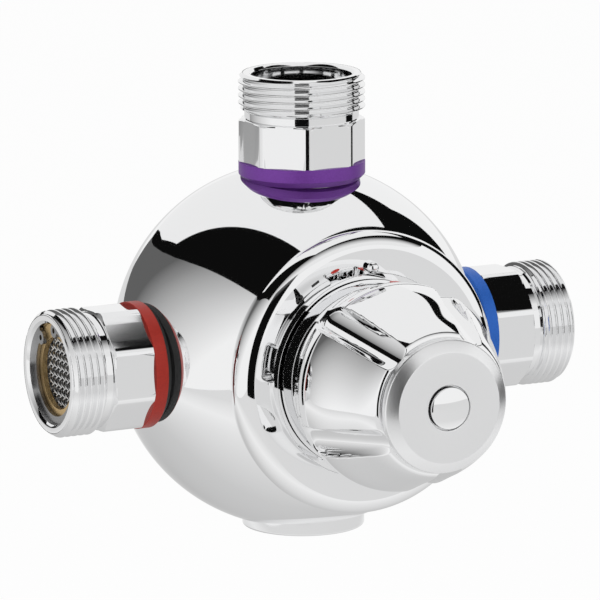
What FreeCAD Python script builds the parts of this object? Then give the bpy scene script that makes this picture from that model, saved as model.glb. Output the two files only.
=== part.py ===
import FreeCAD, Part
import math
import os
from FreeCAD import Placement, Rotation, Vector

# Thermostatic mixing valve. Millimetres, +Z up. The origin is the centre of the bottom plug's flat face.
# Four port axes and the knob's axis cross at one point, PORT_HEIGHT above it.
# Hot comes in from -X, cold from +X, mixed water leaves at +Z, and the knob faces -Y.
os.makedirs("parts", exist_ok=True)

# Fits between pieces
SEAT_FIT = 0.10          # radial room of a spigot or sleeve in its bore
RUNNING_FIT = 0.05       # radial room of a turning or sliding piece
FIT_GAP = 0.05           # room between faces that rest on each other
CUT_PAST = 6.0           # how far a long cut runs past the piece

# Cast body, measured from the crossing of the port axes
BALL_R = 61.0
BALL_BACK = 5.0          # the ball's centre sits this far behind the crossing
PORT_SINK = 4.0          # how far below the ball's radius a union's seat is cut
PLUG_SINK = 6.0          # and the plug's seat
PORT_DEPTH = 17.0        # threaded depth of each port
PASSAGE_R = 14.0         # cast passage behind a port
SPOT_CLEAR = 0.4         # radial room round the plug's head in its spot face
NECK_R = 45.2            # front neck that carries the bonnet
NECK_LEN = 2.5           # how far the neck stands out of the ball
NECK_LAND = 0.8          # plain part of the neck in front of its fillet
SPIGOT_R = 38.0          # front spigot inside the bonnet
SPIGOT_LEN = 4.9
CHAMBER_WALL = 10.5      # casting left between the cartridge chamber and a port's passage
GALLERY = 4.5            # depth of the ring-shaped galleries round the cartridge
GALLERY_EASE = 1.0       # how much longer a gallery is than its windows, at each end
SLOT_HALF_TALL = 12.0    # cast slots that lead from a passage to its chamber
CHANNEL_HALF_WIDE = 9.0  # bent channel from a passage to the outlet chamber
CHANNEL_RISE = 6.0       # how far the channel runs into the passage
OVERLAP = 2.0            # how far cuts that join each other run together

# Unions, G 1 1/4 thread
THREAD_OD = 41.91
THREAD_DEPTH = 1.479
THREAD_LEN = 12.1
RELIEF_LEN = 2.9
RELIEF_R = 18.9
OCTAGON_LEN = 14.4
OCTAGON_FLATS = 38.7
LAND_R = 17.5            # plain land under the coloured ring, and the spigot in the port
LEAD_IN = 0.8            # chamfer at the end of a spigot
SPIGOT_SHORT = 1.0       # the spigot stops this far above the bore's floor
SEAL_BACK = 4.0          # from a port's seat to its O-ring
THREAD_RUNOUT = 0.6
OCTAGON_EASE = 0.9       # height of the cone that trims the corners of the flats
MOUTH_R = 16.7
MOUTH_CHAMFER = 0.9
MOUTH_DEPTH = 6.6        # seat of the filter below the mouth
CHECK_BORE_R = 13.0
CHECK_LIP_R = 11.9       # lip that the check housing stops against
CHECK_LIP = 4.1

# Coloured rings
RING_WIDTH = 6.2
RING_CHAMFER = 2.0

# Filters and circlips
CIRCLIP_DEPTH = 2.0      # front of the circlip below the mouth
CIRCLIP_THICK = 1.2
CIRCLIP_SINK = 0.6       # how deep its groove is
CIRCLIP_BAND = 3.2       # radial width of the circlip
CIRCLIP_AT = 112.0       # middle of its gap
LUG_R = 2.3
LUG_HOLE_R = 0.9
LUG_PITCH_R = 14.3
LUG_ANGLE = 23.0         # from the middle of the gap to each lug
CLAMP_THICK = 1.7        # brass ring between the circlip and the mesh
CLAMP_HOLE_R = 11.9
STACK_GAP = 0.1          # room between the circlip, the clamp ring and the groove's walls
FILTER_RIM = 3.0
MESH_THICK = 0.5
MESH_PITCH = 2.1
MESH_HOLE = 1.35

# Non-return valves
CHECK_LEN = 18.0
CHECK_WALL = 1.8
CHECK_SEAT_R = 8.5
CHECK_SEAT_THICK = 2.0
POPPET_R = 9.8
POPPET_THICK = 1.9
POPPET_STEM_R = 1.5
CHECK_HUB_R = 3.5
CHECK_HUB = 2.0          # thickness of the hub and its three arms
CHECK_ARM = 1.6          # width of an arm
POPPET_TAIL = 1.5        # how far the stem stands out of the hub
POPPET_DOME = 1.4
POPPET_EDGE = 0.6
CHECK_COIL_R = 2.8
CHECK_WIRE_R = 0.5
CHECK_TURNS = 5

# Bottom plug
PLUG_R = 20.4
PLUG_HEAD = 5.0
PLUG_CHAMFER = 0.8
PLUG_WALL = 5.0
SPANNER_HOLE_R = 2.5
SPANNER_HOLE_DEPTH = 3.0
SPANNER_PITCH_R = 12.0

# O-rings
PORT_SEAL_WIRE = 1.1
SLEEVE_SEAL_WIRE = 0.95
SPOOL_SEAL_WIRE = 0.80
GROOVE_EXTRA = 0.35      # how much wider than its O-ring a groove is
SEAL_FLOOR = 0.02        # room between an O-ring and the floor of its groove

# Bonnet
BONNET_LEN = 11.5        # from the neck's end to the bonnet's face
BONNET_FACE_R = 41.8
BONNET_BULGE_R = 46.9
BONNET_BULGE_AT = 6.0    # height of the widest place above the neck's end
GROOVE_R = 33.6          # wall of the recess round the knob's skirt
GROOVE_DEPTH = 3.2
STUD_R = 2.1
STUD_PITCH_R = 35.9
STUD_HEIGHT = 1.2
STUD_SINK = 1.5
STUD_SHOULDER = 0.6      # how much thinner the stud's shank is

# Cartridge, heights are in front of the crossing
SLEEVE_R = 21.5
SLEEVE_WALL = 3.0        # outside the spool's bore
NUT_SHOULDER = 4.5       # step in from the spool's bore to the nut's bore
COLD_SEAT = 8.0          # shoulder that the spool's front end closes against, from the spool's middle
HOT_SEAT = -8.0          # seat behind the spool
FLANGE_FRONT = 43.4      # front of the sleeve's flange, from the spool's middle
WINDOW_LEN = 5.0
WINDOW_ANGLE = 54.0
SLEEVE_REAR = -30.0
OUTLET_LEN = 8.0
OUTLET_WALL = 5.0        # from the sleeve's rear end to its outlet windows
SLEEVE_FLANGE_R = 25.9
SLEEVE_FLANGE = 4.0
SLEEVE_NECK_R = 11.9
SLEEVE_NECK_OUT = 2.0    # how far the neck stands in front of the bonnet's face
SEAL_PITCH = 13.5        # from the middle O-ring to the outer two
END_WALL = 3.0
END_TUBE_WALL = 3.4
END_FLANGE = 2.0
SLEEVE_CLEAR = 0.2       # end room of the nut and the spindle's collar in the sleeve
KEY_WIDTH = 3.0
KEY_DEPTH = 1.4

# Spool, element and springs
SPOOL_GAP = 2.2          # how far each end of the spool stands off its seat
SPOOL_WALL = 2.95
SPOOL_WEB = 3.0
SPOOL_HUB_R = 6.0
SPOOL_PORT_R = 1.6
ELEMENT_CUP_R = 5.9
ELEMENT_CUP_LEN = 11.0
ELEMENT_COLLAR_R = 8.5
ELEMENT_COLLAR = 2.4
ELEMENT_NECK_R = 4.0
ELEMENT_NECK_CLEAR = 1.0 # from the element's neck to the nut's rear face
PISTON_R = 2.0
PISTON_LEN = 9.0
RETURN_COIL_R = 9.6
RETURN_WIRE_R = 0.9
RETURN_TURNS = 5
OVERLOAD_COIL_R = 7.5
OVERLOAD_WIRE_R = 0.8
OVERLOAD_TURNS = 2
NUT_CLEAR = 5.0          # from the cold seat to the nut's rear face
NUT_LEN = 20.0
NUT_LIP = 2.0
NUT_LIP_R = 7.2
NUT_CUP_R = 9.5
NUT_CUP = 10.0           # depth of the overload spring's cup
PLUNGER_THICK = 2.0

# Spindle
SCREW_R = 6.0
SCREW_PROUD = 2.0        # how far the spindle's screw reaches into the nut's cup
COLLAR_R = 10.0
COLLAR_THICK = 3.0
COLLAR_ROOM = 1.6        # from the nut's front face to the spindle's collar
STEM_R = 5.0
SPLINE_LEN = 14.0
SPLINE_TEETH = 20
SPLINE_DEPTH = 0.45
SPINDLE_SEAL_AT = 4.0    # height of the spindle's O-ring above its collar
STEM_SHOULDER = 1.0      # from the knob's hub back to the step of the stem
STEM_LEAD_IN = 0.6
CLIP_THICK = 1.0
CLIP_R = 8.0
CLIP_GROOVE = 0.7
CLIP_GAP = 70.0          # angle of the clip's opening

# Limit stop
STOP_THICK = 4.0
STOP_R = 18.0
STOP_TAB_R = 25.0
STOP_TAB_ANGLE = 60.0
STOP_TAB_AT = 270.0
STOP_LUG_ANGLE = 20.0
STOP_LUG_AT = 105.0
STOP_LUG_CLEAR = 1.2

# Knob
SKIRT_R = 31.2
SKIRT_CLEAR = 0.8        # from the recess floor to the skirt's rear edge
SKIRT_WALL = 3.2
SKIRT_LEN = 9.9
SKIRT_TAPER = 1.0        # height of the small step from the skirt to the lobes
LOBE_BASE_R = 32.3
LOBE_LEN = 40.5
LOBES = 5
LOBE_AT = 98.0           # middle of the top lobe, anticlockwise from +X as seen from the front
FLUTE_R = 5.5
FLUTE_BASE_LIFT = 0.6    # how far a flute's bottom line runs out above the base edge
FLUTE_FRONT_CUT = 1.5    # and how deep it is at the front edge
POCKET_WIDTH = 12.0
POCKET_LEN = 4.4
POCKET_DEPTH = 3.6
POCKET_CORNER = 1.4
KNOB_FRONT_R = 22.9
HUB_R = 9.5
HUB_CLEAR = 4.0          # from the cartridge's neck to the knob's hub
CAVITY_R = 24.6
CAVITY_CONE = 12.0
FRONT_WALL = 11.0
CAVITY_FRONT_R = 16.0
SCREW_HEAD_R = 4.6
SCREW_HEAD = 4.0
SCREW_SHANK_R = 2.5
SCREW_LEN = 12.0
SCREW_HEAD_CLEAR = 0.6
SCREW_ROOM = 0.4         # from the screw's head to the cap
CLAMP_ROOM = 1.0         # the spindle stops this far short, so that the screw clamps the knob
HEX_ACROSS = 4.0
HEX_FLOOR = 1.5

# Front cap and cover
CAP_R = 21.7
CAP_GAP = 0.2            # fine joint between the knob and its cap
CAP_BAND = 2.8
CAP_FACE_R = 18.0
CAP_BEVEL = 2.3
CAP_SPIGOT_R = 17.0
CAP_SPIGOT = 3.0
CAP_WEB = 1.6            # thickness of the wall behind the cap's hole
CAP_HOLE_R = 7.4
CAP_HOLE_DEPTH = 3.3
COVER_R = 6.8
COVER_PROUD = 0.9        # the cover's edge above the cap's face
COVER_DOME = 1.1
COVER_STEM_R = 4.0
COVER_STEM = 1.9
COVER_EDGE = 0.4

# Sizes that follow from the others
PORT_SEAT = BALL_R - PORT_SINK
PLUG_SEAT = BALL_R - PLUG_SINK
PORT_HEIGHT = PLUG_SEAT + PLUG_HEAD      # crossing of the axes above the plug's face
PASSAGE_END = SLEEVE_R + CHAMBER_WALL    # where a port's passage stops, from the crossing
THREAD_R = THREAD_OD / 2
UNION_END = PORT_SEAT + RING_WIDTH + OCTAGON_LEN + RELIEF_LEN + THREAD_LEN
PORT_BORE_R = LAND_R + SEAT_FIT
CHAMBER_R = SLEEVE_R + SEAT_FIT
SPOOL_BORE_R = SLEEVE_R - SLEEVE_WALL
NUT_BORE_R = SPOOL_BORE_R - NUT_SHOULDER
SPOOL_R = SPOOL_BORE_R - RUNNING_FIT
SPOOL_TUBE_R = SPOOL_R - SPOOL_WALL
END_R = SPOOL_BORE_R - SEAT_FIT
END_TUBE_R = END_R - END_TUBE_WALL
SPOOL_FRONT = COLD_SEAT - SPOOL_GAP
SPOOL_REAR = HOT_SEAT + SPOOL_GAP
NECK_ROOT = math.sqrt(BALL_R ** 2 - NECK_R ** 2) - BALL_BACK
NECK_END = NECK_ROOT + NECK_LEN
SPIGOT_END = NECK_END + SPIGOT_LEN
WEB_REAR = SPIGOT_END + STACK_GAP
BONNET_FACE = NECK_END + BONNET_LEN
BONNET_BULGE = NECK_END + BONNET_BULGE_AT
GROOVE_FLOOR = BONNET_FACE - GROOVE_DEPTH
CARTRIDGE_AT = SPIGOT_END - FLANGE_FRONT  # the spool's middle, in front of the crossing
SLEEVE_NECK_END = BONNET_FACE + SLEEVE_NECK_OUT
NECK_FRONT = SLEEVE_NECK_END - CARTRIDGE_AT
OUTLET_REAR = SLEEVE_REAR + OUTLET_WALL
SEAL_HEIGHTS = (SEAL_PITCH, 0, -SEAL_PITCH)
NUT_REAR = COLD_SEAT + NUT_CLEAR
NUT_FRONT = NUT_REAR + NUT_LEN
PLUNGER_REAR = NUT_REAR + NUT_LIP
NUT_CUP_END = PLUNGER_REAR + NUT_CUP
COLLAR_REAR = NUT_FRONT + COLLAR_ROOM
COLLAR_FRONT = COLLAR_REAR + COLLAR_THICK
SPINDLE_SEAL = COLLAR_FRONT + SPINDLE_SEAL_AT
SKIRT_REAR = GROOVE_FLOOR + SKIRT_CLEAR
SKIRT_END = SKIRT_REAR + SKIRT_LEN
LOBE_BASE = SKIRT_END + SKIRT_TAPER
KNOB_FRONT = LOBE_BASE + LOBE_LEN
HUB_REAR = SLEEVE_NECK_END + HUB_CLEAR
CAVITY_FRONT = KNOB_FRONT - FRONT_WALL
SCREW_SEAT = KNOB_FRONT - CAP_SPIGOT - SCREW_HEAD - SCREW_ROOM
SPINDLE_END = SCREW_SEAT - CLAMP_ROOM
CAP_REAR = KNOB_FRONT + CAP_GAP
CAP_FACE = CAP_REAR + CAP_BAND + CAP_BEVEL
CENTRE = Vector(0, 0, PORT_HEIGHT)
ORIGIN = Vector(0, 0, 0)
AXIS = Vector(0, 0, 1)


def port_frame(out, up):
    """A frame at the crossing whose local Z points out along a port and local Y points up."""
    return Placement(CENTRE, Rotation(up.cross(out), up, out, "ZYX"))


HOT = port_frame(Vector(-1, 0, 0), AXIS)
COLD = port_frame(Vector(1, 0, 0), AXIS)
MIXED = port_frame(AXIS, Vector(0, 1, 0))
DOWN = port_frame(Vector(0, 0, -1), Vector(0, 1, 0))
FRONT = port_frame(Vector(0, -1, 0), AXIS)
CARTRIDGE = FRONT.multiply(Placement(Vector(0, 0, CARTRIDGE_AT), Rotation()))


def placed(shape, frame):
    """A copy of a shape that was drawn in a port's frame, set in place."""
    copy = shape.copy()
    copy.Placement = frame.multiply(copy.Placement)
    return copy


def export(name, shape):
    """Write one node; a node of several pieces holds them as separate solids."""
    shape.exportStep(os.path.join("parts", name + ".step"))
    print(name, "solids", len(shape.Solids), "valid", shape.isValid(), "volume", round(shape.Volume, 1))


def lathe(outline):
    """A solid turned about local Z from (radius, height) points.

    A longer entry (radius, height, mid_radius, mid_height) is reached by an arc through the middle point.
    """
    edges = []
    last = Vector(outline[0][0], 0, outline[0][1])
    for entry in list(outline[1:]) + [outline[0][:2]]:
        here = Vector(entry[0], 0, entry[1])
        if here.distanceToPoint(last) < 1e-7:
            continue
        if len(entry) == 4:
            edges.append(Part.Arc(last, Vector(entry[2], 0, entry[3]), here).toShape())
        else:
            edges.append(Part.makeLine(last, here))
        last = here
    return Part.Face(Part.Wire(edges)).revolve(ORIGIN, AXIS, 360)


def dome(radius, edge, rise):
    """The lathe entry that closes an outline with a round dome from (radius, edge) to the axis."""
    ball = (radius ** 2 + rise ** 2) / (2 * rise)
    half = math.asin(radius / ball) / 2
    return (0, edge + rise, ball * math.sin(half), edge + rise - ball * (1 - math.cos(half)))


def disc(radius, low, high):
    """A plain cylinder on local Z between two heights."""
    return Part.makeCylinder(radius, high - low, Vector(0, 0, low))


def tube(inner, outer, low, high):
    """A plain tube on local Z between two heights."""
    return disc(outer, low, high).cut(disc(inner, low, high))


def box(low, high):
    """A box between two corners."""
    size = Vector(*high) - Vector(*low)
    return Part.makeBox(size.x, size.y, size.z, Vector(*low))


def turned_by(shape, angle):
    """A copy turned about local Z, in degrees."""
    copy = shape.copy()
    copy.rotate(ORIGIN, AXIS, angle)
    return copy


def ring_of(shape, count, start=0.0):
    """Copies of a shape evenly spaced about local Z."""
    return [turned_by(shape, start + step * 360.0 / count) for step in range(count)]


def sector(inner, outer, low, high, angle, middle):
    """A piece of a tube that spans an angle about a middle direction."""
    solid = Part.makeCylinder(outer, high - low, Vector(0, 0, low), AXIS, angle)
    if inner > 0:
        solid = solid.cut(disc(inner, low, high))
    return turned_by(solid, middle - angle / 2)


def coil(mean_r, wire_r, low, high, turns):
    """A helical spring whose wire lies between two heights."""
    height = high - low - 2 * wire_r
    path = Part.makeHelix(height / turns, height, mean_r)
    section = Part.Wire(Part.makeCircle(wire_r, Vector(mean_r, 0, 0), Vector(0, 1, 0)))
    spring = Part.Wire(path).makePipeShell([section], True, True)
    spring.translate(Vector(0, 0, low + wire_r))
    return spring


def o_ring(outer_r, wire, height):
    """A round-section seal whose outside has a given radius."""
    return Part.makeTorus(outer_r - wire, wire, Vector(0, 0, height))


def seal_groove(surface_r, wire, height):
    """The groove cut for such a seal in a shaft of a given radius."""
    half = wire + GROOVE_EXTRA
    return tube(surface_r - 2 * wire - SEAL_FLOOR, surface_r + 1, height - half, height + half)


# Cast body

def cast_channel(sign):
    """The bent passage from the upper (1) or lower (-1) port back to the outlet chamber."""
    rear = -OUTLET_REAR - CARTRIDGE_AT
    front = rear - OUTLET_LEN
    half = CHANNEL_HALF_WIDE
    reach = PASSAGE_END + CHANNEL_RISE
    level = box((-half, 0, PASSAGE_END - OVERLAP), (half, rear, reach))
    drop = box((-half, front, CHAMBER_R - 2 * OVERLAP), (half, rear, reach))
    channel = level.fuse(drop)
    if sign < 0:
        channel = channel.mirror(ORIGIN, AXIS)
    channel.translate(CENTRE)
    return channel


def side_slot(sign, middle):
    """The slot from an inlet's passage into the hot or cold chamber."""
    half = WINDOW_LEN / 2 + GALLERY_EASE
    near, far = CHAMBER_R - 2 * OVERLAP, PASSAGE_END + OVERLAP
    low_x, high_x = sorted((sign * near, sign * far))
    slot = box((low_x, middle - half, -SLOT_HALF_TALL), (high_x, middle + half, SLOT_HALF_TALL))
    slot.translate(CENTRE)
    return slot


def gallery(low, high):
    """The ring-shaped space that joins a sleeve's windows all round."""
    return tube(CHAMBER_R - 1, CHAMBER_R + GALLERY, low - GALLERY_EASE, high + GALLERY_EASE)


def port_cut(seat, rebate):
    """The rebate that holds a ring or the plug's head, with the threaded bore and the passage behind it."""
    bore = disc(PORT_BORE_R, seat - PORT_DEPTH, seat + 1)
    passage = disc(PASSAGE_R, PASSAGE_END, seat)
    return rebate.fuse([bore, passage])


def ring_rebate():
    """The space that a coloured ring's chamfered foot leaves in the ball, with a hairline of room."""
    foot_r = THREAD_R - RING_CHAMFER + SEAT_FIT
    rim_r = THREAD_R + SEAT_FIT
    top = BALL_R + CUT_PAST
    return lathe([(0, PORT_SEAT), (foot_r, PORT_SEAT), (rim_r, PORT_SEAT + RING_CHAMFER),
                  (rim_r, top), (0, top)])


def make_ball():
    """The ball with its front neck and the hollow fillet between them, turned about the knob's axis."""
    land = NECK_END - NECK_LAND + BALL_BACK
    fillet = (land ** 2 - BALL_R ** 2 + NECK_R ** 2) / (2 * (BALL_R - NECK_R))
    centre = Vector(NECK_R + fillet, 0, land - BALL_BACK)
    to_ball = Vector(0, 0, -BALL_BACK) - centre
    to_ball.normalize()
    to_middle = to_ball + Vector(-1, 0, 0)
    to_middle.normalize()
    leaves = centre + to_ball * fillet
    middle = centre + to_middle * fillet
    return lathe([(0, -BALL_BACK - BALL_R), (leaves.x, leaves.z, BALL_R, -BALL_BACK),
                  (NECK_R, centre.z, middle.x, middle.z), (NECK_R, NECK_END), (0, NECK_END)])


def make_body():
    body = placed(make_ball(), FRONT)
    body = body.fuse(placed(disc(SPIGOT_R, NECK_END - 1, SPIGOT_END), FRONT))
    cuts = [placed(port_cut(PORT_SEAT, ring_rebate()), frame) for frame in (HOT, COLD, MIXED)]
    plug_rebate = disc(PLUG_R + SPOT_CLEAR, PLUG_SEAT, BALL_R + CUT_PAST)
    cuts.append(placed(port_cut(PLUG_SEAT, plug_rebate), DOWN))
    flange_seat = SPIGOT_END - SLEEVE_FLANGE
    cuts.append(placed(disc(SLEEVE_FLANGE_R + SEAT_FIT, flange_seat, SPIGOT_END + 1), FRONT))
    cuts.append(placed(disc(CHAMBER_R, SLEEVE_REAR - END_FLANGE - 1, FLANGE_FRONT), CARTRIDGE))
    cuts.append(placed(gallery(COLD_SEAT - WINDOW_LEN, COLD_SEAT), CARTRIDGE))
    cuts.append(placed(gallery(HOT_SEAT, HOT_SEAT + WINDOW_LEN), CARTRIDGE))
    outlet_room = gallery(OUTLET_REAR + GALLERY_EASE, OUTLET_REAR + OUTLET_LEN - GALLERY_EASE)
    cuts.append(placed(outlet_room, CARTRIDGE))
    cuts += [cast_channel(1), cast_channel(-1)]
    cuts.append(side_slot(-1, -CARTRIDGE_AT - HOT_SEAT - WINDOW_LEN / 2))
    cuts.append(side_slot(1, -CARTRIDGE_AT - COLD_SEAT + WINDOW_LEN / 2))
    return body.cut(cuts)


# Unions and what they hold

def octagon(low, high):
    """A prism with eight spanner flats, its corners eased by a cone at the outer end."""
    corner_r = OCTAGON_FLATS / 2 / math.cos(math.pi / 8)
    corners = []
    for step in range(9):
        angle = math.pi / 8 + step * math.pi / 4
        corners.append(Vector(corner_r * math.cos(angle), corner_r * math.sin(angle), low))
    prism = Part.Face(Part.makePolygon(corners)).extrude(Vector(0, 0, high - low))
    flat_r = OCTAGON_FLATS / 2
    easing = lathe([(0, low), (corner_r, low), (corner_r, high - OCTAGON_EASE), (flat_r, high), (0, high)])
    return prism.common(easing)


def make_union(has_filter):
    ring_top = PORT_SEAT + RING_WIDTH
    flats_top = ring_top + OCTAGON_LEN
    thread_low = flats_top + RELIEF_LEN
    minor_r = THREAD_R - THREAD_DEPTH
    spigot_low = PORT_SEAT - PORT_DEPTH + SPIGOT_SHORT
    outside = lathe([(0, spigot_low), (LAND_R - LEAD_IN, spigot_low), (LAND_R, spigot_low + LEAD_IN),
                     (LAND_R, flats_top), (RELIEF_R, flats_top), (RELIEF_R, thread_low - THREAD_RUNOUT),
                     (minor_r, thread_low), (THREAD_R, thread_low + THREAD_RUNOUT),
                     (THREAD_R, UNION_END - THREAD_DEPTH), (minor_r, UNION_END), (0, UNION_END)])
    union = outside.fuse(octagon(ring_top, flats_top))
    check_top = UNION_END - MOUTH_DEPTH - CHECK_LIP
    filter_seat = UNION_END - MOUTH_DEPTH
    eased = UNION_END - MOUTH_CHAMFER
    bore = lathe([(0, spigot_low - 1), (CHECK_BORE_R, spigot_low - 1), (CHECK_BORE_R, check_top),
                  (CHECK_LIP_R, check_top), (CHECK_LIP_R, filter_seat), (MOUTH_R, filter_seat),
                  (MOUTH_R, eased), (MOUTH_R + MOUTH_CHAMFER, UNION_END),
                  (MOUTH_R + MOUTH_CHAMFER, UNION_END + 1), (0, UNION_END + 1)])
    union = union.cut([bore, seal_groove(LAND_R, PORT_SEAL_WIRE, PORT_SEAT - SEAL_BACK)])
    if has_filter:
        top = UNION_END - CIRCLIP_DEPTH
        union = union.cut(tube(1, MOUTH_R + CIRCLIP_SINK, top - CIRCLIP_THICK - STACK_GAP, top + FIT_GAP))
    return union


def make_ring():
    """A coloured ring, chamfered where it meets the body."""
    inner = LAND_R + SEAT_FIT
    low = PORT_SEAT
    high = PORT_SEAT + RING_WIDTH
    return lathe([(inner, low), (THREAD_R - RING_CHAMFER, low), (THREAD_R, low + RING_CHAMFER),
                  (THREAD_R, high), (inner, high)])


def filter_top():
    """Height of the mesh's front, where the clamp ring bears on it."""
    return UNION_END - CIRCLIP_DEPTH - CIRCLIP_THICK - CLAMP_THICK - STACK_GAP


def make_filter():
    """A rim with a mesh of square holes set at 45 degrees across its front."""
    outer = MOUTH_R - SEAT_FIT
    top = filter_top()
    rim = tube(outer - FILTER_RIM, outer, UNION_END - MOUTH_DEPTH, top)
    mesh = disc(outer - FILTER_RIM / 2, top - MESH_THICK, top)
    reach = int(MOUTH_R / MESH_PITCH) + 1
    hole = Part.makeBox(MESH_HOLE, MESH_HOLE, MESH_THICK + 2,
                        Vector(-MESH_HOLE / 2, -MESH_HOLE / 2, top - MESH_THICK - 1))
    holes = []
    for row in range(-reach, reach + 1):
        for column in range(-reach, reach + 1):
            if math.hypot(row, column) * MESH_PITCH < CLAMP_HOLE_R:
                one = hole.copy()
                one.translate(Vector(row * MESH_PITCH, column * MESH_PITCH, 0))
                holes.append(one)
    mesh = turned_by(mesh.cut(holes), 45)
    return rim.fuse(mesh)


def make_clamp():
    """The brass ring that the circlip presses on the mesh."""
    low = filter_top()
    return tube(CLAMP_HOLE_R, MOUTH_R - SEAT_FIT, low, low + CLAMP_THICK)


def make_circlip():
    """An internal circlip: a band with a gap and an eyed lug at each end."""
    outer = MOUTH_R + CIRCLIP_SINK - FIT_GAP
    inner = outer - CIRCLIP_BAND
    top = UNION_END - CIRCLIP_DEPTH
    low = top - CIRCLIP_THICK
    lug_half = math.degrees(math.asin(LUG_R / LUG_PITCH_R))
    gap = 2 * (LUG_ANGLE - lug_half / 2)
    band = tube(inner, outer, low, top).cut(sector(0, outer + 2, low, top, gap, 0))
    lugs = []
    eyes = []
    for side in (-1, 1):
        angle = math.radians(side * LUG_ANGLE)
        spot = Vector(LUG_PITCH_R * math.cos(angle), LUG_PITCH_R * math.sin(angle), low)
        lugs.append(Part.makeCylinder(LUG_R, CIRCLIP_THICK, spot))
        eyes.append(Part.makeCylinder(LUG_HOLE_R, CIRCLIP_THICK, spot))
    return turned_by(band.fuse(lugs).cut(eyes), CIRCLIP_AT)


def check_heights():
    """The inner and outer ends of a non-return valve's housing."""
    top = UNION_END - MOUTH_DEPTH - CHECK_LIP
    return top - CHECK_LEN, top


def make_check_housing():
    low, top = check_heights()
    outer = CHECK_BORE_R - SEAT_FIT
    inner = outer - CHECK_WALL
    shell = tube(inner, outer, low, top)
    seat = tube(CHECK_SEAT_R, inner + 0.5, top - CHECK_SEAT_THICK, top)
    hub = disc(CHECK_HUB_R, low, low + CHECK_HUB)
    arms = ring_of(box((0, -CHECK_ARM / 2, low), (inner + 0.5, CHECK_ARM / 2, low + CHECK_HUB)), 3, 90)
    guide = disc(POPPET_STEM_R + RUNNING_FIT, low - 1, low + CHECK_HUB + 1)
    return shell.fuse([seat, hub] + arms).cut(guide)


def poppet_face():
    """Height of the sealing face of a poppet, just under its seat."""
    return check_heights()[1] - CHECK_SEAT_THICK - STACK_GAP


def make_poppet():
    low, _ = check_heights()
    face = poppet_face()
    back = face - POPPET_THICK
    dome_r = CHECK_SEAT_R - 0.5
    tail = low - POPPET_TAIL
    return lathe([(0, tail), (POPPET_STEM_R, tail), (POPPET_STEM_R, back), (POPPET_R - POPPET_EDGE, back),
                  (POPPET_R, back + POPPET_EDGE), (POPPET_R, face), (dome_r, face),
                  dome(dome_r, face, POPPET_DOME)])


def make_check_spring():
    low, _ = check_heights()
    back = poppet_face() - POPPET_THICK
    return coil(CHECK_COIL_R, CHECK_WIRE_R, low + CHECK_HUB + SEAL_FLOOR, back - SEAL_FLOOR, CHECK_TURNS)


def make_plug():
    face = PORT_HEIGHT
    low = PLUG_SEAT - PORT_DEPTH + SPIGOT_SHORT
    plug = lathe([(0, low), (LAND_R - LEAD_IN, low), (LAND_R, low + LEAD_IN), (LAND_R, PLUG_SEAT),
                  (PLUG_R, PLUG_SEAT), (PLUG_R, face - PLUG_CHAMFER), (PLUG_R - PLUG_CHAMFER, face),
                  (0, face)])
    hollow = disc(LAND_R - PLUG_WALL, low - 1, PLUG_SEAT)
    spanner = Part.makeCylinder(SPANNER_HOLE_R, SPANNER_HOLE_DEPTH + 1,
                                Vector(SPANNER_PITCH_R, 0, face - SPANNER_HOLE_DEPTH))
    groove = seal_groove(LAND_R, PORT_SEAL_WIRE, PLUG_SEAT - SEAL_BACK)
    return plug.cut([hollow, groove] + ring_of(spanner, 2))


# Bonnet and its index stud

def make_bonnet():
    hole_r = SLEEVE_NECK_R + SEAT_FIT
    bore_r = SPIGOT_R + SEAT_FIT
    edge_mid_r = BONNET_FACE_R + (BONNET_BULGE_R - BONNET_FACE_R) * 0.78
    edge_mid = BONNET_BULGE + (BONNET_FACE - BONNET_BULGE) * 0.70
    flare_mid_r = NECK_R + (BONNET_BULGE_R - NECK_R) * 0.72
    flare_mid = NECK_END + (BONNET_BULGE - NECK_END) * 0.5
    outline = [(bore_r, NECK_END), (NECK_R, NECK_END), (BONNET_BULGE_R, BONNET_BULGE, flare_mid_r, flare_mid),
               (BONNET_FACE_R, BONNET_FACE, edge_mid_r, edge_mid), (GROOVE_R, BONNET_FACE),
               (GROOVE_R, GROOVE_FLOOR), (hole_r, GROOVE_FLOOR), (hole_r, WEB_REAR), (bore_r, WEB_REAR)]
    stud_floor = Vector(0, STUD_PITCH_R, BONNET_FACE - STUD_SINK)
    stud_hole = Part.makeCylinder(STUD_R - STUD_SHOULDER, STUD_SINK + 1, stud_floor)
    return lathe(outline).cut(stud_hole)


def make_stud():
    """A domed stud with a thinner shank pressed into the bonnet's face."""
    shank_r = STUD_R - STUD_SHOULDER - RUNNING_FIT
    low = BONNET_FACE - STUD_SINK
    cyl_top = BONNET_FACE + STUD_HEIGHT
    stud = lathe([(0, low), (shank_r, low), (shank_r, BONNET_FACE), (STUD_R, BONNET_FACE), (STUD_R, cyl_top),
                  dome(STUD_R, cyl_top, STUD_R)])
    stud.translate(Vector(0, STUD_PITCH_R, 0))
    return stud


# Cartridge

def windows(inner, outer, low, high):
    """Four openings round a sleeve, one facing each way."""
    return ring_of(sector(inner - 1, outer + 1, low, high, WINDOW_ANGLE, 0), 4)


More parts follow.
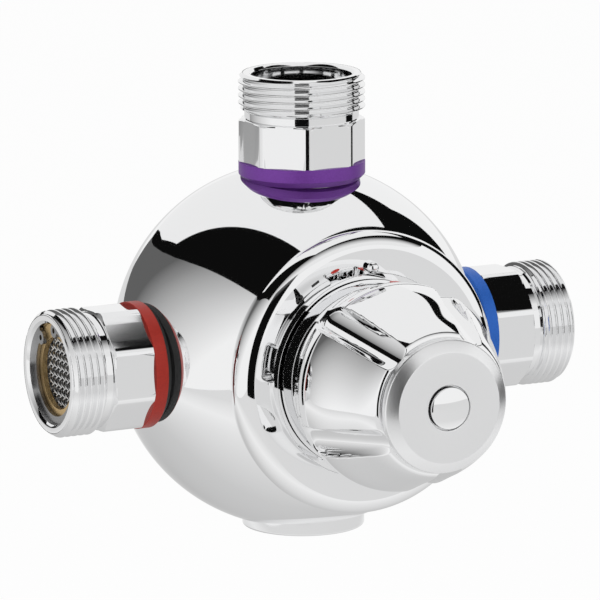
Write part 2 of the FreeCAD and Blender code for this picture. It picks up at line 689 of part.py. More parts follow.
def make_sleeve():
    flange_rear = FLANGE_FRONT - SLEEVE_FLANGE
    collar_floor = COLLAR_FRONT + SLEEVE_CLEAR
    nut_room = COLLAR_REAR - SLEEVE_CLEAR
    outline = [(SPOOL_BORE_R, SLEEVE_REAR), (SLEEVE_R, SLEEVE_REAR), (SLEEVE_R, flange_rear),
               (SLEEVE_FLANGE_R, flange_rear), (SLEEVE_FLANGE_R, FLANGE_FRONT), (SLEEVE_NECK_R, FLANGE_FRONT),
               (SLEEVE_NECK_R, NECK_FRONT), (SCREW_R + RUNNING_FIT, NECK_FRONT),
               (SCREW_R + RUNNING_FIT, collar_floor), (COLLAR_R + RUNNING_FIT, collar_floor),
               (COLLAR_R + RUNNING_FIT, nut_room), (NUT_BORE_R, nut_room), (NUT_BORE_R, COLD_SEAT),
               (SPOOL_BORE_R, COLD_SEAT)]
    slot_half = KEY_WIDTH / 2 + SEAT_FIT
    slot_r = NUT_BORE_R + KEY_DEPTH + SEAT_FIT
    cuts = ring_of(box((0, -slot_half, COLD_SEAT - 1), (slot_r, slot_half, nut_room)), 2)
    cuts += windows(SPOOL_BORE_R, SLEEVE_R, COLD_SEAT - WINDOW_LEN, COLD_SEAT)
    cuts += windows(SPOOL_BORE_R, SLEEVE_R, HOT_SEAT, HOT_SEAT + WINDOW_LEN)
    cuts += windows(SPOOL_BORE_R, SLEEVE_R, OUTLET_REAR, OUTLET_REAR + OUTLET_LEN)
    cuts += [seal_groove(SLEEVE_R, SLEEVE_SEAL_WIRE, height) for height in SEAL_HEIGHTS]
    return lathe(outline).cut(cuts)


def make_cartridge_end():
    """The screwed rear end: its front edge is the hot seat and its floor carries the return spring."""
    floor = SLEEVE_REAR + END_WALL
    outline = [(0, SLEEVE_REAR - END_FLANGE), (SLEEVE_R, SLEEVE_REAR - END_FLANGE), (SLEEVE_R, SLEEVE_REAR),
               (END_R, SLEEVE_REAR), (END_R, HOT_SEAT), (END_TUBE_R, HOT_SEAT), (END_TUBE_R, floor),
               (0, floor)]
    return lathe(outline).cut(windows(END_TUBE_R, END_R, OUTLET_REAR, OUTLET_REAR + OUTLET_LEN))


def make_spool():
    half = SPOOL_WEB / 2
    web = disc(SPOOL_TUBE_R + 1, -half, half)
    tube_wall = tube(SPOOL_TUBE_R, SPOOL_R, SPOOL_REAR, SPOOL_FRONT)
    port_at = (SPOOL_TUBE_R + RETURN_COIL_R + RETURN_WIRE_R) / 2
    port = Part.makeCylinder(SPOOL_PORT_R, SPOOL_WEB + 2, Vector(port_at, 0, -half - 1))
    cuts = ring_of(port, 12)
    cuts.append(disc(SPOOL_HUB_R, -half - 1, half + 1))
    cuts.append(seal_groove(SPOOL_R, SPOOL_SEAL_WIRE, 0))
    return tube_wall.fuse(web).cut(cuts)


def make_element():
    """A wax cup with a collar that sits on the spool's web and a neck that guides the piston."""
    seat = SPOOL_WEB / 2
    neck_end = NUT_REAR - ELEMENT_NECK_CLEAR
    bore_floor = PLUNGER_REAR - PISTON_LEN - 1
    return lathe([(0, -ELEMENT_CUP_LEN), (ELEMENT_CUP_R - 1.5, -ELEMENT_CUP_LEN),
                  (ELEMENT_CUP_R, -ELEMENT_CUP_LEN + 1.5), (ELEMENT_CUP_R, seat), (ELEMENT_COLLAR_R, seat),
                  (ELEMENT_COLLAR_R, seat + ELEMENT_COLLAR), (ELEMENT_NECK_R, seat + ELEMENT_COLLAR),
                  (ELEMENT_NECK_R, neck_end), (PISTON_R + RUNNING_FIT, neck_end),
                  (PISTON_R + RUNNING_FIT, bore_floor), (0, bore_floor)])


def make_piston():
    return disc(PISTON_R, PLUNGER_REAR - PISTON_LEN, PLUNGER_REAR)


def make_plunger():
    return disc(NUT_CUP_R - SEAT_FIT, PLUNGER_REAR, PLUNGER_REAR + PLUNGER_THICK)


def make_nut():
    outer = NUT_BORE_R - RUNNING_FIT
    bore = SCREW_R + RUNNING_FIT
    outline = [(NUT_LIP_R, NUT_REAR), (outer, NUT_REAR), (outer, NUT_FRONT), (bore, NUT_FRONT),
               (bore, NUT_CUP_END), (NUT_CUP_R, NUT_CUP_END), (NUT_CUP_R, PLUNGER_REAR),
               (NUT_LIP_R, PLUNGER_REAR)]
    key = box((outer - 1, -KEY_WIDTH / 2, NUT_REAR), (NUT_BORE_R + KEY_DEPTH, KEY_WIDTH / 2, NUT_FRONT))
    return lathe(outline).fuse(ring_of(key, 2))


def make_return_spring():
    floor = SLEEVE_REAR + END_WALL
    return coil(RETURN_COIL_R, RETURN_WIRE_R, floor + FIT_GAP, -SPOOL_WEB / 2 - FIT_GAP, RETURN_TURNS)


def make_overload_spring():
    low = PLUNGER_REAR + PLUNGER_THICK
    return coil(OVERLOAD_COIL_R, OVERLOAD_WIRE_R, low + SEAL_FLOOR, NUT_CUP_END - SEAL_FLOOR, OVERLOAD_TURNS)


# Spindle, clip and limit stop

def make_spindle():
    tip = NUT_CUP_END - SCREW_PROUD
    clip_low = NECK_FRONT + SLEEVE_CLEAR
    clip_high = clip_low + CLIP_THICK + 2 * FIT_GAP
    groove_r = SCREW_R - CLIP_GROOVE
    stem_low = HUB_REAR - STEM_SHOULDER - CARTRIDGE_AT
    end = SPINDLE_END - CARTRIDGE_AT
    outline = [(0, tip), (SCREW_R - 1, tip), (SCREW_R, tip + 1), (SCREW_R, COLLAR_REAR),
               (COLLAR_R, COLLAR_REAR), (COLLAR_R, COLLAR_FRONT), (SCREW_R, COLLAR_FRONT),
               (SCREW_R, clip_low),
               (groove_r, clip_low), (groove_r, clip_high), (SCREW_R, clip_high), (SCREW_R, stem_low),
               (STEM_R, stem_low), (STEM_R, end - STEM_LEAD_IN), (STEM_R - STEM_LEAD_IN, end),
               (0, end)]
    flank = 2 * math.pi * STEM_R / SPLINE_TEETH / 4
    notch = box((STEM_R - SPLINE_DEPTH, -flank, end - SPLINE_LEN), (STEM_R + 1, flank, end + 1))
    tapped = disc(SCREW_SHANK_R, end - SCREW_LEN, end + 1)
    cuts = ring_of(notch, SPLINE_TEETH)
    cuts += [tapped, seal_groove(SCREW_R, SPOOL_SEAL_WIRE, SPINDLE_SEAL)]
    return lathe(outline).cut(cuts)


def make_clip():
    low = NECK_FRONT + SLEEVE_CLEAR + FIT_GAP
    inner = SCREW_R - CLIP_GROOVE + RUNNING_FIT
    opening = sector(0, CLIP_R + 1, low, low + CLIP_THICK, CLIP_GAP, 90)
    return tube(inner, CLIP_R, low, low + CLIP_THICK).cut(opening)


def make_stop():
    low = GROOVE_FLOOR + FIT_GAP
    ring = tube(SLEEVE_NECK_R + SEAT_FIT, STOP_R, low, low + STOP_THICK)
    tab = sector(STOP_R - 1, STOP_TAB_R, low, low + STOP_THICK, STOP_TAB_ANGLE, STOP_TAB_AT)
    return ring.fuse(tab)


# Knob

def lobe_outline():
    """The knob's outer curve from its base edge to its front edge, as (radius, height) points."""
    length = KNOB_FRONT - LOBE_BASE
    drop = LOBE_BASE_R - KNOB_FRONT_R
    belly = [(0.19, 1.45, 0.0), (0.41, 1.25, 0.02), (0.66, 0.0, 0.30), (0.84, -0.05, 0.62)]
    points = [(LOBE_BASE_R, LOBE_BASE)]
    for share, swell, fall in belly:
        points.append((LOBE_BASE_R + swell - fall * drop, LOBE_BASE + share * length))
    points.append((KNOB_FRONT_R, KNOB_FRONT))
    return points


def make_blank():
    """The turned outer form of the knob: skirt, swelling body and flat front."""
    curve = Part.BSplineCurve()
    curve.interpolate([Vector(r, 0, h) for r, h in lobe_outline()])
    corners = [(KNOB_FRONT_R, KNOB_FRONT), (0, KNOB_FRONT), (0, SKIRT_REAR), (SKIRT_R, SKIRT_REAR),
               (SKIRT_R, SKIRT_END), (LOBE_BASE_R, LOBE_BASE)]
    points = [Vector(r, 0, h) for r, h in corners]
    edges = [curve.toShape()] + [Part.makeLine(a, b) for a, b in zip(points, points[1:])]
    return Part.Face(Part.Wire(edges)).revolve(ORIGIN, AXIS, 360)


def flute_cutter():
    """A long round cutter that meets the swelling body in a leaf-shaped flute."""
    start = Vector(LOBE_BASE_R + FLUTE_BASE_LIFT + FLUTE_R, 0, LOBE_BASE)
    end = Vector(KNOB_FRONT_R - FLUTE_FRONT_CUT + FLUTE_R, 0, KNOB_FRONT)
    along = end - start
    along.normalize()
    return Part.makeCylinder(FLUTE_R, (end - start).Length + 2 * CUT_PAST, start - along * CUT_PAST, along)


def pocket_cutter():
    """A rounded pocket in the base edge, open towards the bonnet."""
    floor_r = LOBE_BASE_R - POCKET_DEPTH
    half = POCKET_WIDTH / 2
    block = box((floor_r, -half, SKIRT_END - 0.3), (floor_r + 12, half, LOBE_BASE + POCKET_LEN))
    corners = [e for e in block.Edges if e.BoundBox.XLength > 5 and e.BoundBox.ZMin > LOBE_BASE]
    return block.makeFillet(POCKET_CORNER, corners)


def make_knob():
    skirt_in = SKIRT_R - SKIRT_WALL
    cavity = lathe([(HUB_R, SKIRT_REAR - 1), (skirt_in, SKIRT_REAR - 1), (skirt_in, SKIRT_END - 3.0),
                    (CAVITY_R, SKIRT_END), (CAVITY_R, CAVITY_FRONT - CAVITY_CONE),
                    (CAVITY_FRONT_R, CAVITY_FRONT),
                    (HUB_R, CAVITY_FRONT)])
    hub_room = disc(HUB_R + 1, SKIRT_REAR - 1, HUB_REAR)
    bore = disc(STEM_R + RUNNING_FIT, SKIRT_REAR, SPINDLE_END + 0.2)
    shank = disc(SCREW_SHANK_R + SEAT_FIT, SPINDLE_END, SCREW_SEAT + 1)
    head = disc(SCREW_HEAD_R + SCREW_HEAD_CLEAR, SCREW_SEAT, KNOB_FRONT + 1)
    recess = disc(CAP_SPIGOT_R + SEAT_FIT, KNOB_FRONT - CAP_SPIGOT, KNOB_FRONT + 1)
    pitch = 360.0 / LOBES
    cuts = [cavity, hub_room, bore, shank, head, recess]
    cuts += ring_of(flute_cutter(), LOBES, LOBE_AT + pitch / 2)
    cuts += ring_of(pocket_cutter(), LOBES, LOBE_AT)
    lug = sector(STOP_R + STOP_LUG_CLEAR, skirt_in + 0.5, SKIRT_REAR + CAP_GAP, SKIRT_REAR + STOP_THICK,
                 STOP_LUG_ANGLE, STOP_LUG_AT)
    return make_blank().cut(cuts).fuse(lug)


def make_knob_screw():
    seat = SCREW_SEAT
    shank = disc(SCREW_SHANK_R - RUNNING_FIT, seat - SCREW_LEN + 1, seat)
    head = disc(SCREW_HEAD_R, seat, seat + SCREW_HEAD)
    corner = HEX_ACROSS / 2 / math.cos(math.pi / 6)
    angles = [k * math.pi / 3 for k in range(7)]
    hexagon = [Vector(corner * math.cos(a), corner * math.sin(a), seat + HEX_FLOOR) for a in angles]
    socket = Part.Face(Part.makePolygon(hexagon)).extrude(Vector(0, 0, SCREW_HEAD))
    return shank.fuse(head).cut(socket)


def make_cap():
    spigot_low = KNOB_FRONT - CAP_SPIGOT + 0.1
    band_top = CAP_REAR + CAP_BAND
    hole_low = CAP_FACE - CAP_HOLE_DEPTH
    stem_r = COVER_STEM_R + SEAT_FIT
    under = hole_low - CAP_WEB
    return lathe([(SCREW_HEAD_R + 1, spigot_low), (CAP_SPIGOT_R, spigot_low), (CAP_SPIGOT_R, CAP_REAR),
                  (CAP_R, CAP_REAR), (CAP_R, band_top), (CAP_FACE_R, CAP_FACE), (CAP_HOLE_R, CAP_FACE),
                  (CAP_HOLE_R, hole_low), (stem_r, hole_low), (stem_r, under), (SCREW_HEAD_R + 1, under)])


def make_cover():
    """The domed disc in the cap's hole, with its clip stem."""
    low = CAP_FACE - CAP_HOLE_DEPTH
    edge = CAP_FACE + COVER_PROUD
    rest = low + FIT_GAP
    stem_low = low - COVER_STEM
    return lathe([(0, stem_low), (COVER_STEM_R, stem_low), (COVER_STEM_R, rest), (COVER_R, rest),
                  (COVER_R, edge - COVER_EDGE), (COVER_R - COVER_EDGE, edge),
                  dome(COVER_R - COVER_EDGE, edge, COVER_DOME)])


# Every node

def main():
    export("valve_body", make_body())
    export("bonnet", placed(make_bonnet(), FRONT))
    export("index_stud", placed(make_stud(), FRONT))
    filtered_union = make_union(True)
    export("mixed_union", placed(make_union(False), MIXED))
    export("mixed_ring", placed(make_ring(), MIXED))
    port_seal = o_ring(LAND_R + FIT_GAP, PORT_SEAL_WIRE, PORT_SEAT - SEAL_BACK)
    export("mixed_seal", placed(port_seal, MIXED))
    mesh_filter = make_filter()
    circlip = make_circlip()
    for water, frame in (("hot", HOT), ("cold", COLD)):
        export(water + "_union", placed(filtered_union, frame))
        export(water + "_ring", placed(make_ring(), frame))
        export(water + "_seal", placed(port_seal, frame))
        export(water + "_filter", placed(mesh_filter, frame))
        export(water + "_clamp_ring", placed(make_clamp(), frame))
        export(water + "_circlip", placed(circlip, frame))
        export(water + "_check_housing", placed(make_check_housing(), frame))
        export(water + "_check_poppet", placed(make_poppet(), frame))
        export(water + "_check_spring", placed(make_check_spring(), frame))
    export("bottom_plug", placed(make_plug(), DOWN))
    export("plug_seal", placed(o_ring(LAND_R + FIT_GAP, PORT_SEAL_WIRE, PLUG_SEAT - SEAL_BACK), DOWN))
    export("cartridge_sleeve", placed(make_sleeve(), CARTRIDGE))
    export("cartridge_end", placed(make_cartridge_end(), CARTRIDGE))
    seals = [o_ring(SLEEVE_R + FIT_GAP, SLEEVE_SEAL_WIRE, height) for height in SEAL_HEIGHTS]
    export("cartridge_seals", placed(Part.makeCompound(seals), CARTRIDGE))
    export("control_spool", placed(make_spool(), CARTRIDGE))
    export("spool_seal", placed(o_ring(SPOOL_R, SPOOL_SEAL_WIRE, 0), CARTRIDGE))
    export("wax_element", placed(make_element(), CARTRIDGE))
    export("element_piston", placed(make_piston(), CARTRIDGE))
    export("return_spring", placed(make_return_spring(), CARTRIDGE))
    export("overload_spring", placed(make_overload_spring(), CARTRIDGE))
    export("overload_plunger", placed(make_plunger(), CARTRIDGE))
    export("regulating_nut", placed(make_nut(), CARTRIDGE))
    export("spindle", placed(make_spindle(), CARTRIDGE))
    export("spindle_seal", placed(o_ring(SCREW_R, SPOOL_SEAL_WIRE, SPINDLE_SEAL), CARTRIDGE))
    export("spindle_clip", placed(make_clip(), CARTRIDGE))
    export("limit_stop", placed(make_stop(), FRONT))
    export("knob", placed(make_knob(), FRONT))
    export("knob_screw", placed(make_knob_screw(), FRONT))
    export("knob_cap", placed(make_cap(), FRONT))
    export("screw_cover", placed(make_cover(), FRONT))


main()
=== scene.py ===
# %% [markdown]
# # A thermostatic mixing valve
# The valve is a polished chrome ball. Hot water comes in on the left, cold water on the right, and
# mixed water leaves at the top. Almost everything is turned on a lathe and chrome plated, so the lesson
# is mostly about two things: outlines that are spun round an axis, and a small studio whose panels the
# chrome can mirror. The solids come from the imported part. They fix where everything is; this script
# gives them their finish.

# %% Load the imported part
import math

import bpy
import numpy as np
from mathutils import Matrix, Vector


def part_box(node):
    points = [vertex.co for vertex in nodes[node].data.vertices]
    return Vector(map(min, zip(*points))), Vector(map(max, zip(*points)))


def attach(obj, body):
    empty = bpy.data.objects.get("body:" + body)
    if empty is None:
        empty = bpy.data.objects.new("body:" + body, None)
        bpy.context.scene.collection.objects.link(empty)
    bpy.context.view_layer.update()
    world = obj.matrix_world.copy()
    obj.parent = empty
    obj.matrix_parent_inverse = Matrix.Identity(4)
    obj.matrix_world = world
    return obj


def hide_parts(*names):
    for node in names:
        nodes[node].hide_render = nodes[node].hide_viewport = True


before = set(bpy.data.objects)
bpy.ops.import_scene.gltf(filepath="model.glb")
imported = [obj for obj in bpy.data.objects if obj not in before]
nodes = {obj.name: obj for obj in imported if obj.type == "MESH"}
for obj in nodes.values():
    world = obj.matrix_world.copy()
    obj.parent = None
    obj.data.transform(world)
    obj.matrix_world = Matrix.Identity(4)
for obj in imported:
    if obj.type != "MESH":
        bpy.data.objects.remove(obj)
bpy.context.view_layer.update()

# %% [markdown]
# ## Where things are
# Every size below is in millimetres, as on a workshop drawing, and MM turns it into Blender's metres.
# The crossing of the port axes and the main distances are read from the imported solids, so the pieces
# sit where the solids are.

# %% Main distances
MM = 0.001


def low(node, axis):
    """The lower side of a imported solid's box along an axis, in millimetres."""
    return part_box(node)[0]["XYZ".index(axis)] / MM


def high(node, axis):
    """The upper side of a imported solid's box along an axis, in millimetres."""
    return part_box(node)[1]["XYZ".index(axis)] / MM


CROSS_Z = (low("hot_union", "Z") + high("hot_union", "Z")) / 2
THREAD_R = (high("hot_union", "Z") - low("hot_union", "Z")) / 2
UNION_END = -low("hot_union", "X")
SPIGOT_END = -high("hot_union", "X")
PORT_SEAT = -high("hot_ring", "X")
RING_TOP = -low("hot_ring", "X")
PLUG_FACE = CROSS_Z
NECK_END = -high("bonnet", "Y")
BONNET_FACE = -low("bonnet", "Y")
KNOB_REAR = -high("knob", "Y")
KNOB_FRONT = -low("knob", "Y")
print("crossing", round(CROSS_Z, 2), "union end", round(UNION_END, 2), "knob", KNOB_REAR, KNOB_FRONT)

# %% [markdown]
# ## Drawing along a port
# A valve maker draws each union once, standing up, and then fits it to a port. The same is done here: a
# piece is drawn with its axis along local Z, and a matrix lays that axis along the port and scales
# millimetres to metres.

# %% Port frames


def port(out, up):
    """Lays local Z along a port and local Y towards up, in millimetres from the crossing."""
    side = up.cross(out)
    turn = Matrix((side, up, out)).transposed().to_4x4()
    return Matrix.Translation((0, 0, CROSS_Z * MM)) @ turn @ Matrix.Scale(MM, 4)


UP = Vector((0, 0, 1))
BACK = Vector((0, 1, 0))
HOT = port(Vector((-1, 0, 0)), UP)
COLD = port(Vector((1, 0, 0)), UP)
MIXED = port(UP, BACK)
DOWN = port(-UP, BACK)
FRONT = port(-BACK, UP)
print("port frames", 5)

# %% [markdown]
# ## Shader maths in plain Python
# A finish is a small sum: noise times a strength, added to a roughness. Blender wants a node for each
# step, so one small class wraps a socket and lets the sum be written as it is said. Numbers alone are
# worked out in Python, and only what changes over the surface becomes a node.

# %% The Wire class


class Wire:
    """An output socket that can be used in a sum."""

    def __init__(self, finish, socket):
        self.finish = finish
        self.socket = socket

    def sum_with(self, operation, first, second):
        return self.finish.node("ShaderNodeMath", {"operation": operation}, {0: first, 1: second})

    def __add__(self, other):
        return self.sum_with("ADD", self, other)

    __radd__ = __add__

    def __mul__(self, other):
        return self.sum_with("MULTIPLY", self, other)

    __rmul__ = __mul__


print("a wire can be added and multiplied")

# %% [markdown]
# ## One way to add a node
# A finish needs only a few kinds of node, but each kind has its own settings and sockets. One method
# adds any of them: it takes the kind, the settings, and the values or wires of the sockets. The longer
# names, such as noise and bump, are only short ways to call it.

# %% The Finish class


class Finish:
    """A material, or the world, whose nodes are added one call at a time."""

    def __init__(self, name, owner=None):
        self.material = owner or bpy.data.materials.new(name)
        self.material.use_nodes = True
        self.tree = self.material.node_tree
        self.tree.nodes.clear()

    def node(self, kind, settings, sockets, output=0):
        """Add a node: its settings first, then its sockets' values or wires. Gives one output as a Wire."""
        made = self.tree.nodes.new(kind)
        for setting, value in settings.items():
            if setting == "stops":
                self.set_stops(made, value)
            else:
                setattr(made, setting, value)
        for key, value in sockets.items():
            if isinstance(value, Wire):
                self.tree.links.new(value.socket, made.inputs[key])
            else:
                made.inputs[key].default_value = value
        return Wire(self, made.outputs[output]) if made.outputs else made

    @staticmethod
    def set_stops(ramp, stops):
        """Give a colour ramp its (place, colour) stops."""
        elements = ramp.color_ramp.elements
        while len(elements) < len(stops):
            elements.new(1.0)
        for element, (place, colour) in zip(elements, stops):
            element.position = place
            element.color = colour

    def place(self):
        """The surface point in metres, which stays with the piece when it moves."""
        return self.node("ShaderNodeTexCoord", {}, {}, "Object")

    def noise(self, scale, detail=3.0):
        """Soft noise from 0 to 1 over the surface."""
        sockets = {"Vector": self.place(), "Scale": scale, "Detail": detail}
        return self.node("ShaderNodeTexNoise", {}, sockets, "Fac")

    def blend(self, amount, first, second):
        """Mix two colours."""
        return self.node("ShaderNodeMix", {"data_type": "RGBA"}, {0: amount, 6: first, 7: second}, 2)

    def bump(self, height, strength, distance):
        """A normal from a height."""
        sockets = {"Height": height, "Strength": strength, "Distance": distance}
        return self.node("ShaderNodeBump", {}, sockets)

    def surface(self, sockets):
        """Finish with a Principled surface and give the material."""
        shader = self.node("ShaderNodeBsdfPrincipled", {}, sockets)
        self.node("ShaderNodeOutputMaterial", {}, {"Surface": shader})
        return self.material


def grey(value):
    """A neutral colour."""
    return (value, value, value, 1.0)


print("shader helpers ready")

# %% [markdown]
# ## Chrome
# Chrome plate is a mirror with almost no colour of its own: metallic 1, a pale base colour and a very
# low roughness. A perfect mirror looks like a toy, so slow noise moves the roughness a little, as hand
# polishing does. The unions get the same plate a little rougher, and the knob's cap is satin: it is
# much rougher, so it mirrors only soft light and shade. Nothing here paints a reflection: what is seen
# in the chrome is really standing in the studio.

# %% Chrome finishes
CLOUD_SCALE = 38.0
WARM_RED = 0.985
WARM_GREEN = 0.99


def plated(name, tint, roughness, wear):
    """Chrome plate over brass, with the soft unevenness of polishing."""
    finish = Finish(name)
    clouds = finish.noise(CLOUD_SCALE)
    colour = finish.blend(clouds, (tint * WARM_RED, tint * WARM_GREEN, tint, 1.0), grey(tint))
    return finish.surface({"Base Color": colour, "Metallic": 1.0, "Roughness": clouds * wear + roughness})


body_chrome = plated("body_chrome", 0.93, 0.022, 0.020)
front_chrome = plated("front_chrome", 0.93, 0.020, 0.018)
union_chrome = plated("union_chrome", 0.91, 0.045, 0.030)
knob_chrome = plated("knob_chrome", 0.94, 0.025, 0.025)
satin_chrome = plated("satin_chrome", 0.93, 0.26, 0.05)
print("chrome finishes", 5)

# %% [markdown]
# ## The coloured rings
# Red marks hot, blue marks cold and purple marks mixed water. On the real valve the rings are
# fine-grained, between paint and anodised metal: they glint softly but mirror nothing. A half-metallic
# base with a middling roughness and a very fine grain in both colour and bump gives that.

# %% Ring finishes
RING_GRAIN = 2600.0
GRAIN_TALL = 0.0002


def ring_colour(name, dark, light):
    """Satin colour with a fine metallic grain."""
    finish = Finish(name)
    grain = finish.noise(RING_GRAIN, 2.0)
    return finish.surface({
        "Base Color": finish.blend(grain, dark, light),
        "Metallic": 0.35,
        "Roughness": grain * 0.12 + 0.36,
        "Normal": finish.bump(grain, 0.10, GRAIN_TALL),
    })


hot_red = ring_colour("hot_red", (0.24, 0.010, 0.005, 1.0), (0.48, 0.026, 0.012, 1.0))
cold_blue = ring_colour("cold_blue", (0.005, 0.075, 0.38, 1.0), (0.018, 0.15, 0.60, 1.0))
mixed_purple = ring_colour("mixed_purple", (0.11, 0.020, 0.22, 1.0), (0.21, 0.052, 0.40, 1.0))
print("ring finishes", 3)

# %% [markdown]
# ## Brass, steel, rubber and plastic
# The small pieces in the hot mouth are a steel circlip, a brass clamp ring and a woven steel mesh.
# Inside the body there are brass, rubber and plastic pieces that a plain view never shows, but each
# still gets its own finish, because the part is also looked at with the knob turned or the body opened.

# %% Small finishes
METAL_GRAIN = 1500.0
MOTTLE_SCALE = 420.0


def bare_metal(name, dark, light, roughness):
    """Unplated metal with a fine grain."""
    finish = Finish(name)
    grain = finish.noise(METAL_GRAIN, 4.0)
    return finish.surface({
        "Base Color": finish.blend(grain, dark, light),
        "Metallic": 1.0,
        "Roughness": grain * 0.15 + roughness,
        "Normal": finish.bump(grain, 0.15, GRAIN_TALL),
    })


def moulded(name, dark, light, roughness):
    """Plastic or rubber with a faint mottling."""
    finish = Finish(name)
    mottle = finish.noise(MOTTLE_SCALE)
    return finish.surface({
        "Base Color": finish.blend(mottle, dark, light),
        "Roughness": mottle * 0.1 + roughness,
    })


brass = bare_metal("brass", (0.52, 0.34, 0.12, 1.0), (0.88, 0.66, 0.36, 1.0), 0.30)
mesh_steel = bare_metal("mesh_steel", grey(0.50), grey(0.74), 0.22)
spring_steel = bare_metal("spring_steel", grey(0.26), grey(0.40), 0.24)
rubber = moulded("rubber", grey(0.012), grey(0.025), 0.60)
dark_plastic = moulded("dark_plastic", grey(0.010), grey(0.020), 0.45)
raw_casting = bare_metal("raw_casting", (0.20, 0.14, 0.06, 1.0), (0.34, 0.25, 0.12, 1.0), 0.55)
red_paint = moulded("red_paint", (0.42, 0.012, 0.008, 1.0), (0.56, 0.030, 0.016, 1.0), 0.35)
black_ink = moulded("black_ink", grey(0.012), grey(0.03), 0.50)
print("small finishes", 8)

# %% [markdown]
# ## Dressing a piece
# A new piece has to say which body of the part it moves with and which imported solid it stands for. One
# helper says both, so neither is forgotten. The other helpers make an object from points, shade it smooth
# between its real edges, and join several objects into one.

# %% Dress a piece
SHARP_ABOVE = 28.0


def dress(piece, body, slot, *stands_for):
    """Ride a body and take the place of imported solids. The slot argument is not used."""
    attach(piece, body)
    if stands_for:
        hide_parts(*stands_for)
    return piece


def smooth(piece, sharp_above):
    """Smooth shading everywhere except across edges sharper than an angle in degrees."""
    piece.data.shade_smooth()
    piece.data.set_sharp_from_angle(angle=math.radians(sharp_above))


def mesh_piece(name, points, faces, matrix, material, sharp_above=SHARP_ABOVE):
    """An object from points in a port's frame."""
    mesh = bpy.data.meshes.new(name)
    mesh.from_pydata([tuple(p) for p in points], [], [tuple(f) for f in faces])
    mesh.transform(matrix)
    mesh.validate()
    mesh.update()
    piece = bpy.data.objects.new(name, mesh)
    bpy.context.scene.collection.objects.link(piece)
    mesh.materials.append(material)
    smooth(piece, sharp_above)
    return piece


def joined(pieces):
    """Several mesh objects as one."""
    bpy.ops.object.select_all(action="DESELECT")
    for piece in pieces:
        piece.select_set(True)
    bpy.context.view_layer.objects.active = pieces[0]
    bpy.ops.object.join()
    return pieces[0]


print("dressing helpers ready")

# %% [markdown]
# ## A lathe
# Turned pieces start as an outline of (radius, height) corners. A third number rounds the corner,
# because a real polished edge is never razor sharp and the tiny round is what catches the light. The
# outline is then spun with enough steps that the mirror finish shows no flats.

# %% Outlines with rounded corners
ROUND_STEP = math.radians(11.0)
SIDE_SHARE = 0.49


def round_corner(before, here, after, radius):
    """The points of an arc that rounds one corner of an outline."""
    to_before = before - here
    to_after = after - here
    longest = min(np.linalg.norm(to_before), np.linalg.norm(to_after)) * SIDE_SHARE
    to_before /= np.linalg.norm(to_before)
    to_after /= np.linalg.norm(to_after)
    corner = math.acos(np.clip(to_before @ to_after, -1.0, 1.0))
    cut = min(radius / math.tan(corner / 2), longest)
    radius = cut * math.tan(corner / 2)
    middle = to_before + to_after
    centre = here + middle / np.linalg.norm(middle) * radius / math.sin(corner / 2)
    first = here + to_before * cut - centre
    last = here + to_after * cut - centre
    sweep = math.pi - corner
    steps = max(2, math.ceil(sweep / ROUND_STEP))
    shares = [step / steps for step in range(steps + 1)]
    return [centre + (math.sin((1 - s) * sweep) * first + math.sin(s * sweep) * last) / math.sin(sweep)
            for s in shares]


def rounded_outline(outline):
    """The outline's points, with arcs at the corners that give a radius."""
    points = []
    count = len(outline)
    for index, entry in enumerate(outline):
        here = np.array(entry[:2], float)
        if len(entry) == 2:
            points.append(here)
            continue
        before = np.array(outline[index - 1][:2], float)
        after = np.array(outline[(index + 1) % count][:2], float)
        points.extend(round_corner(before, here, after, entry[2]))
    return points


square = [(0.0, 0.0), (2.0, 0.0, 0.5), (2.0, 2.0), (0.0, 2.0)]
print("a square with one round corner has", len(rounded_outline(square)), "points")

# %% [markdown]
# ## Arcs through three points
# A dome or a flare is a longer round than a corner. It is easiest to say where it starts, where it ends
# and one place that it passes, so the circle through those three places is worked out. Complex numbers
# make that a short sum.

# %% Arcs


def arc(start, middle, end, steps):
    """Points of the circle through three points, without the first one."""
    a, b, c = (complex(*p) for p in (start, middle, end))
    w = (c - a) / (b - a)
    centre = (b - a) * (w - abs(w) ** 2) / (2j * w.imag) + a
    from_angle = np.angle(a - centre)
    to_angle = np.angle(c - centre)
    mid_turn = (np.angle(b - centre) - from_angle) % (2 * math.pi)
    turn = (to_angle - from_angle) % (2 * math.pi)
    if mid_turn > turn:
        turn -= 2 * math.pi
    spots = [centre + (a - centre) * np.exp(1j * turn * step / steps) for step in range(1, steps + 1)]
    return [(spot.real, spot.imag) for spot in spots]


bend = arc((1.0, 0.0), (math.cos(math.pi / 4), math.sin(math.pi / 4)), (0.0, 1.0), 3)
print("a quarter turn in three steps", [(round(x, 2), round(y, 2)) for x, y in bend])

# %% [markdown]
# ## Spinning the outline
# Blender's Screw modifier could spin a curve, but then the steps and the closing seam are its own. Here
# each outline point becomes a row of points round the axis, and neighbouring rows are joined by faces.
# A point on the axis stays one point, and its faces are triangles.

# %% Spin an outline
TURNS = 224
ON_AXIS = 1e-6


def spun(outline, turns=TURNS):
    """Points and faces of an outline spun round local Z. It closes unless both ends are on the axis."""
    profile = rounded_outline(outline)
    angles = np.arange(turns) * 2 * math.pi / turns
    points = []
    rows = []
    for radius, height in profile:
        if radius < ON_AXIS:
            rows.append([len(points)] * turns)
            points.append((0.0, 0.0, height))
        else:
            rows.append(list(range(len(points), len(points) + turns)))
            points.extend((radius * math.cos(a), radius * math.sin(a), height) for a in angles)
    open_ended = profile[0][0] < ON_AXIS and profile[-1][0] < ON_AXIS
    pairs = list(zip(rows, rows[1:])) if open_ended else list(zip(rows, rows[1:] + rows[:1]))
    faces = []
    for lower, upper in pairs:
        for i in range(turns):
            j = (i + 1) % turns
            corners = [lower[i], lower[j], upper[j], upper[i]]
            faces.append(list(dict.fromkeys(corners)))
    return points, faces


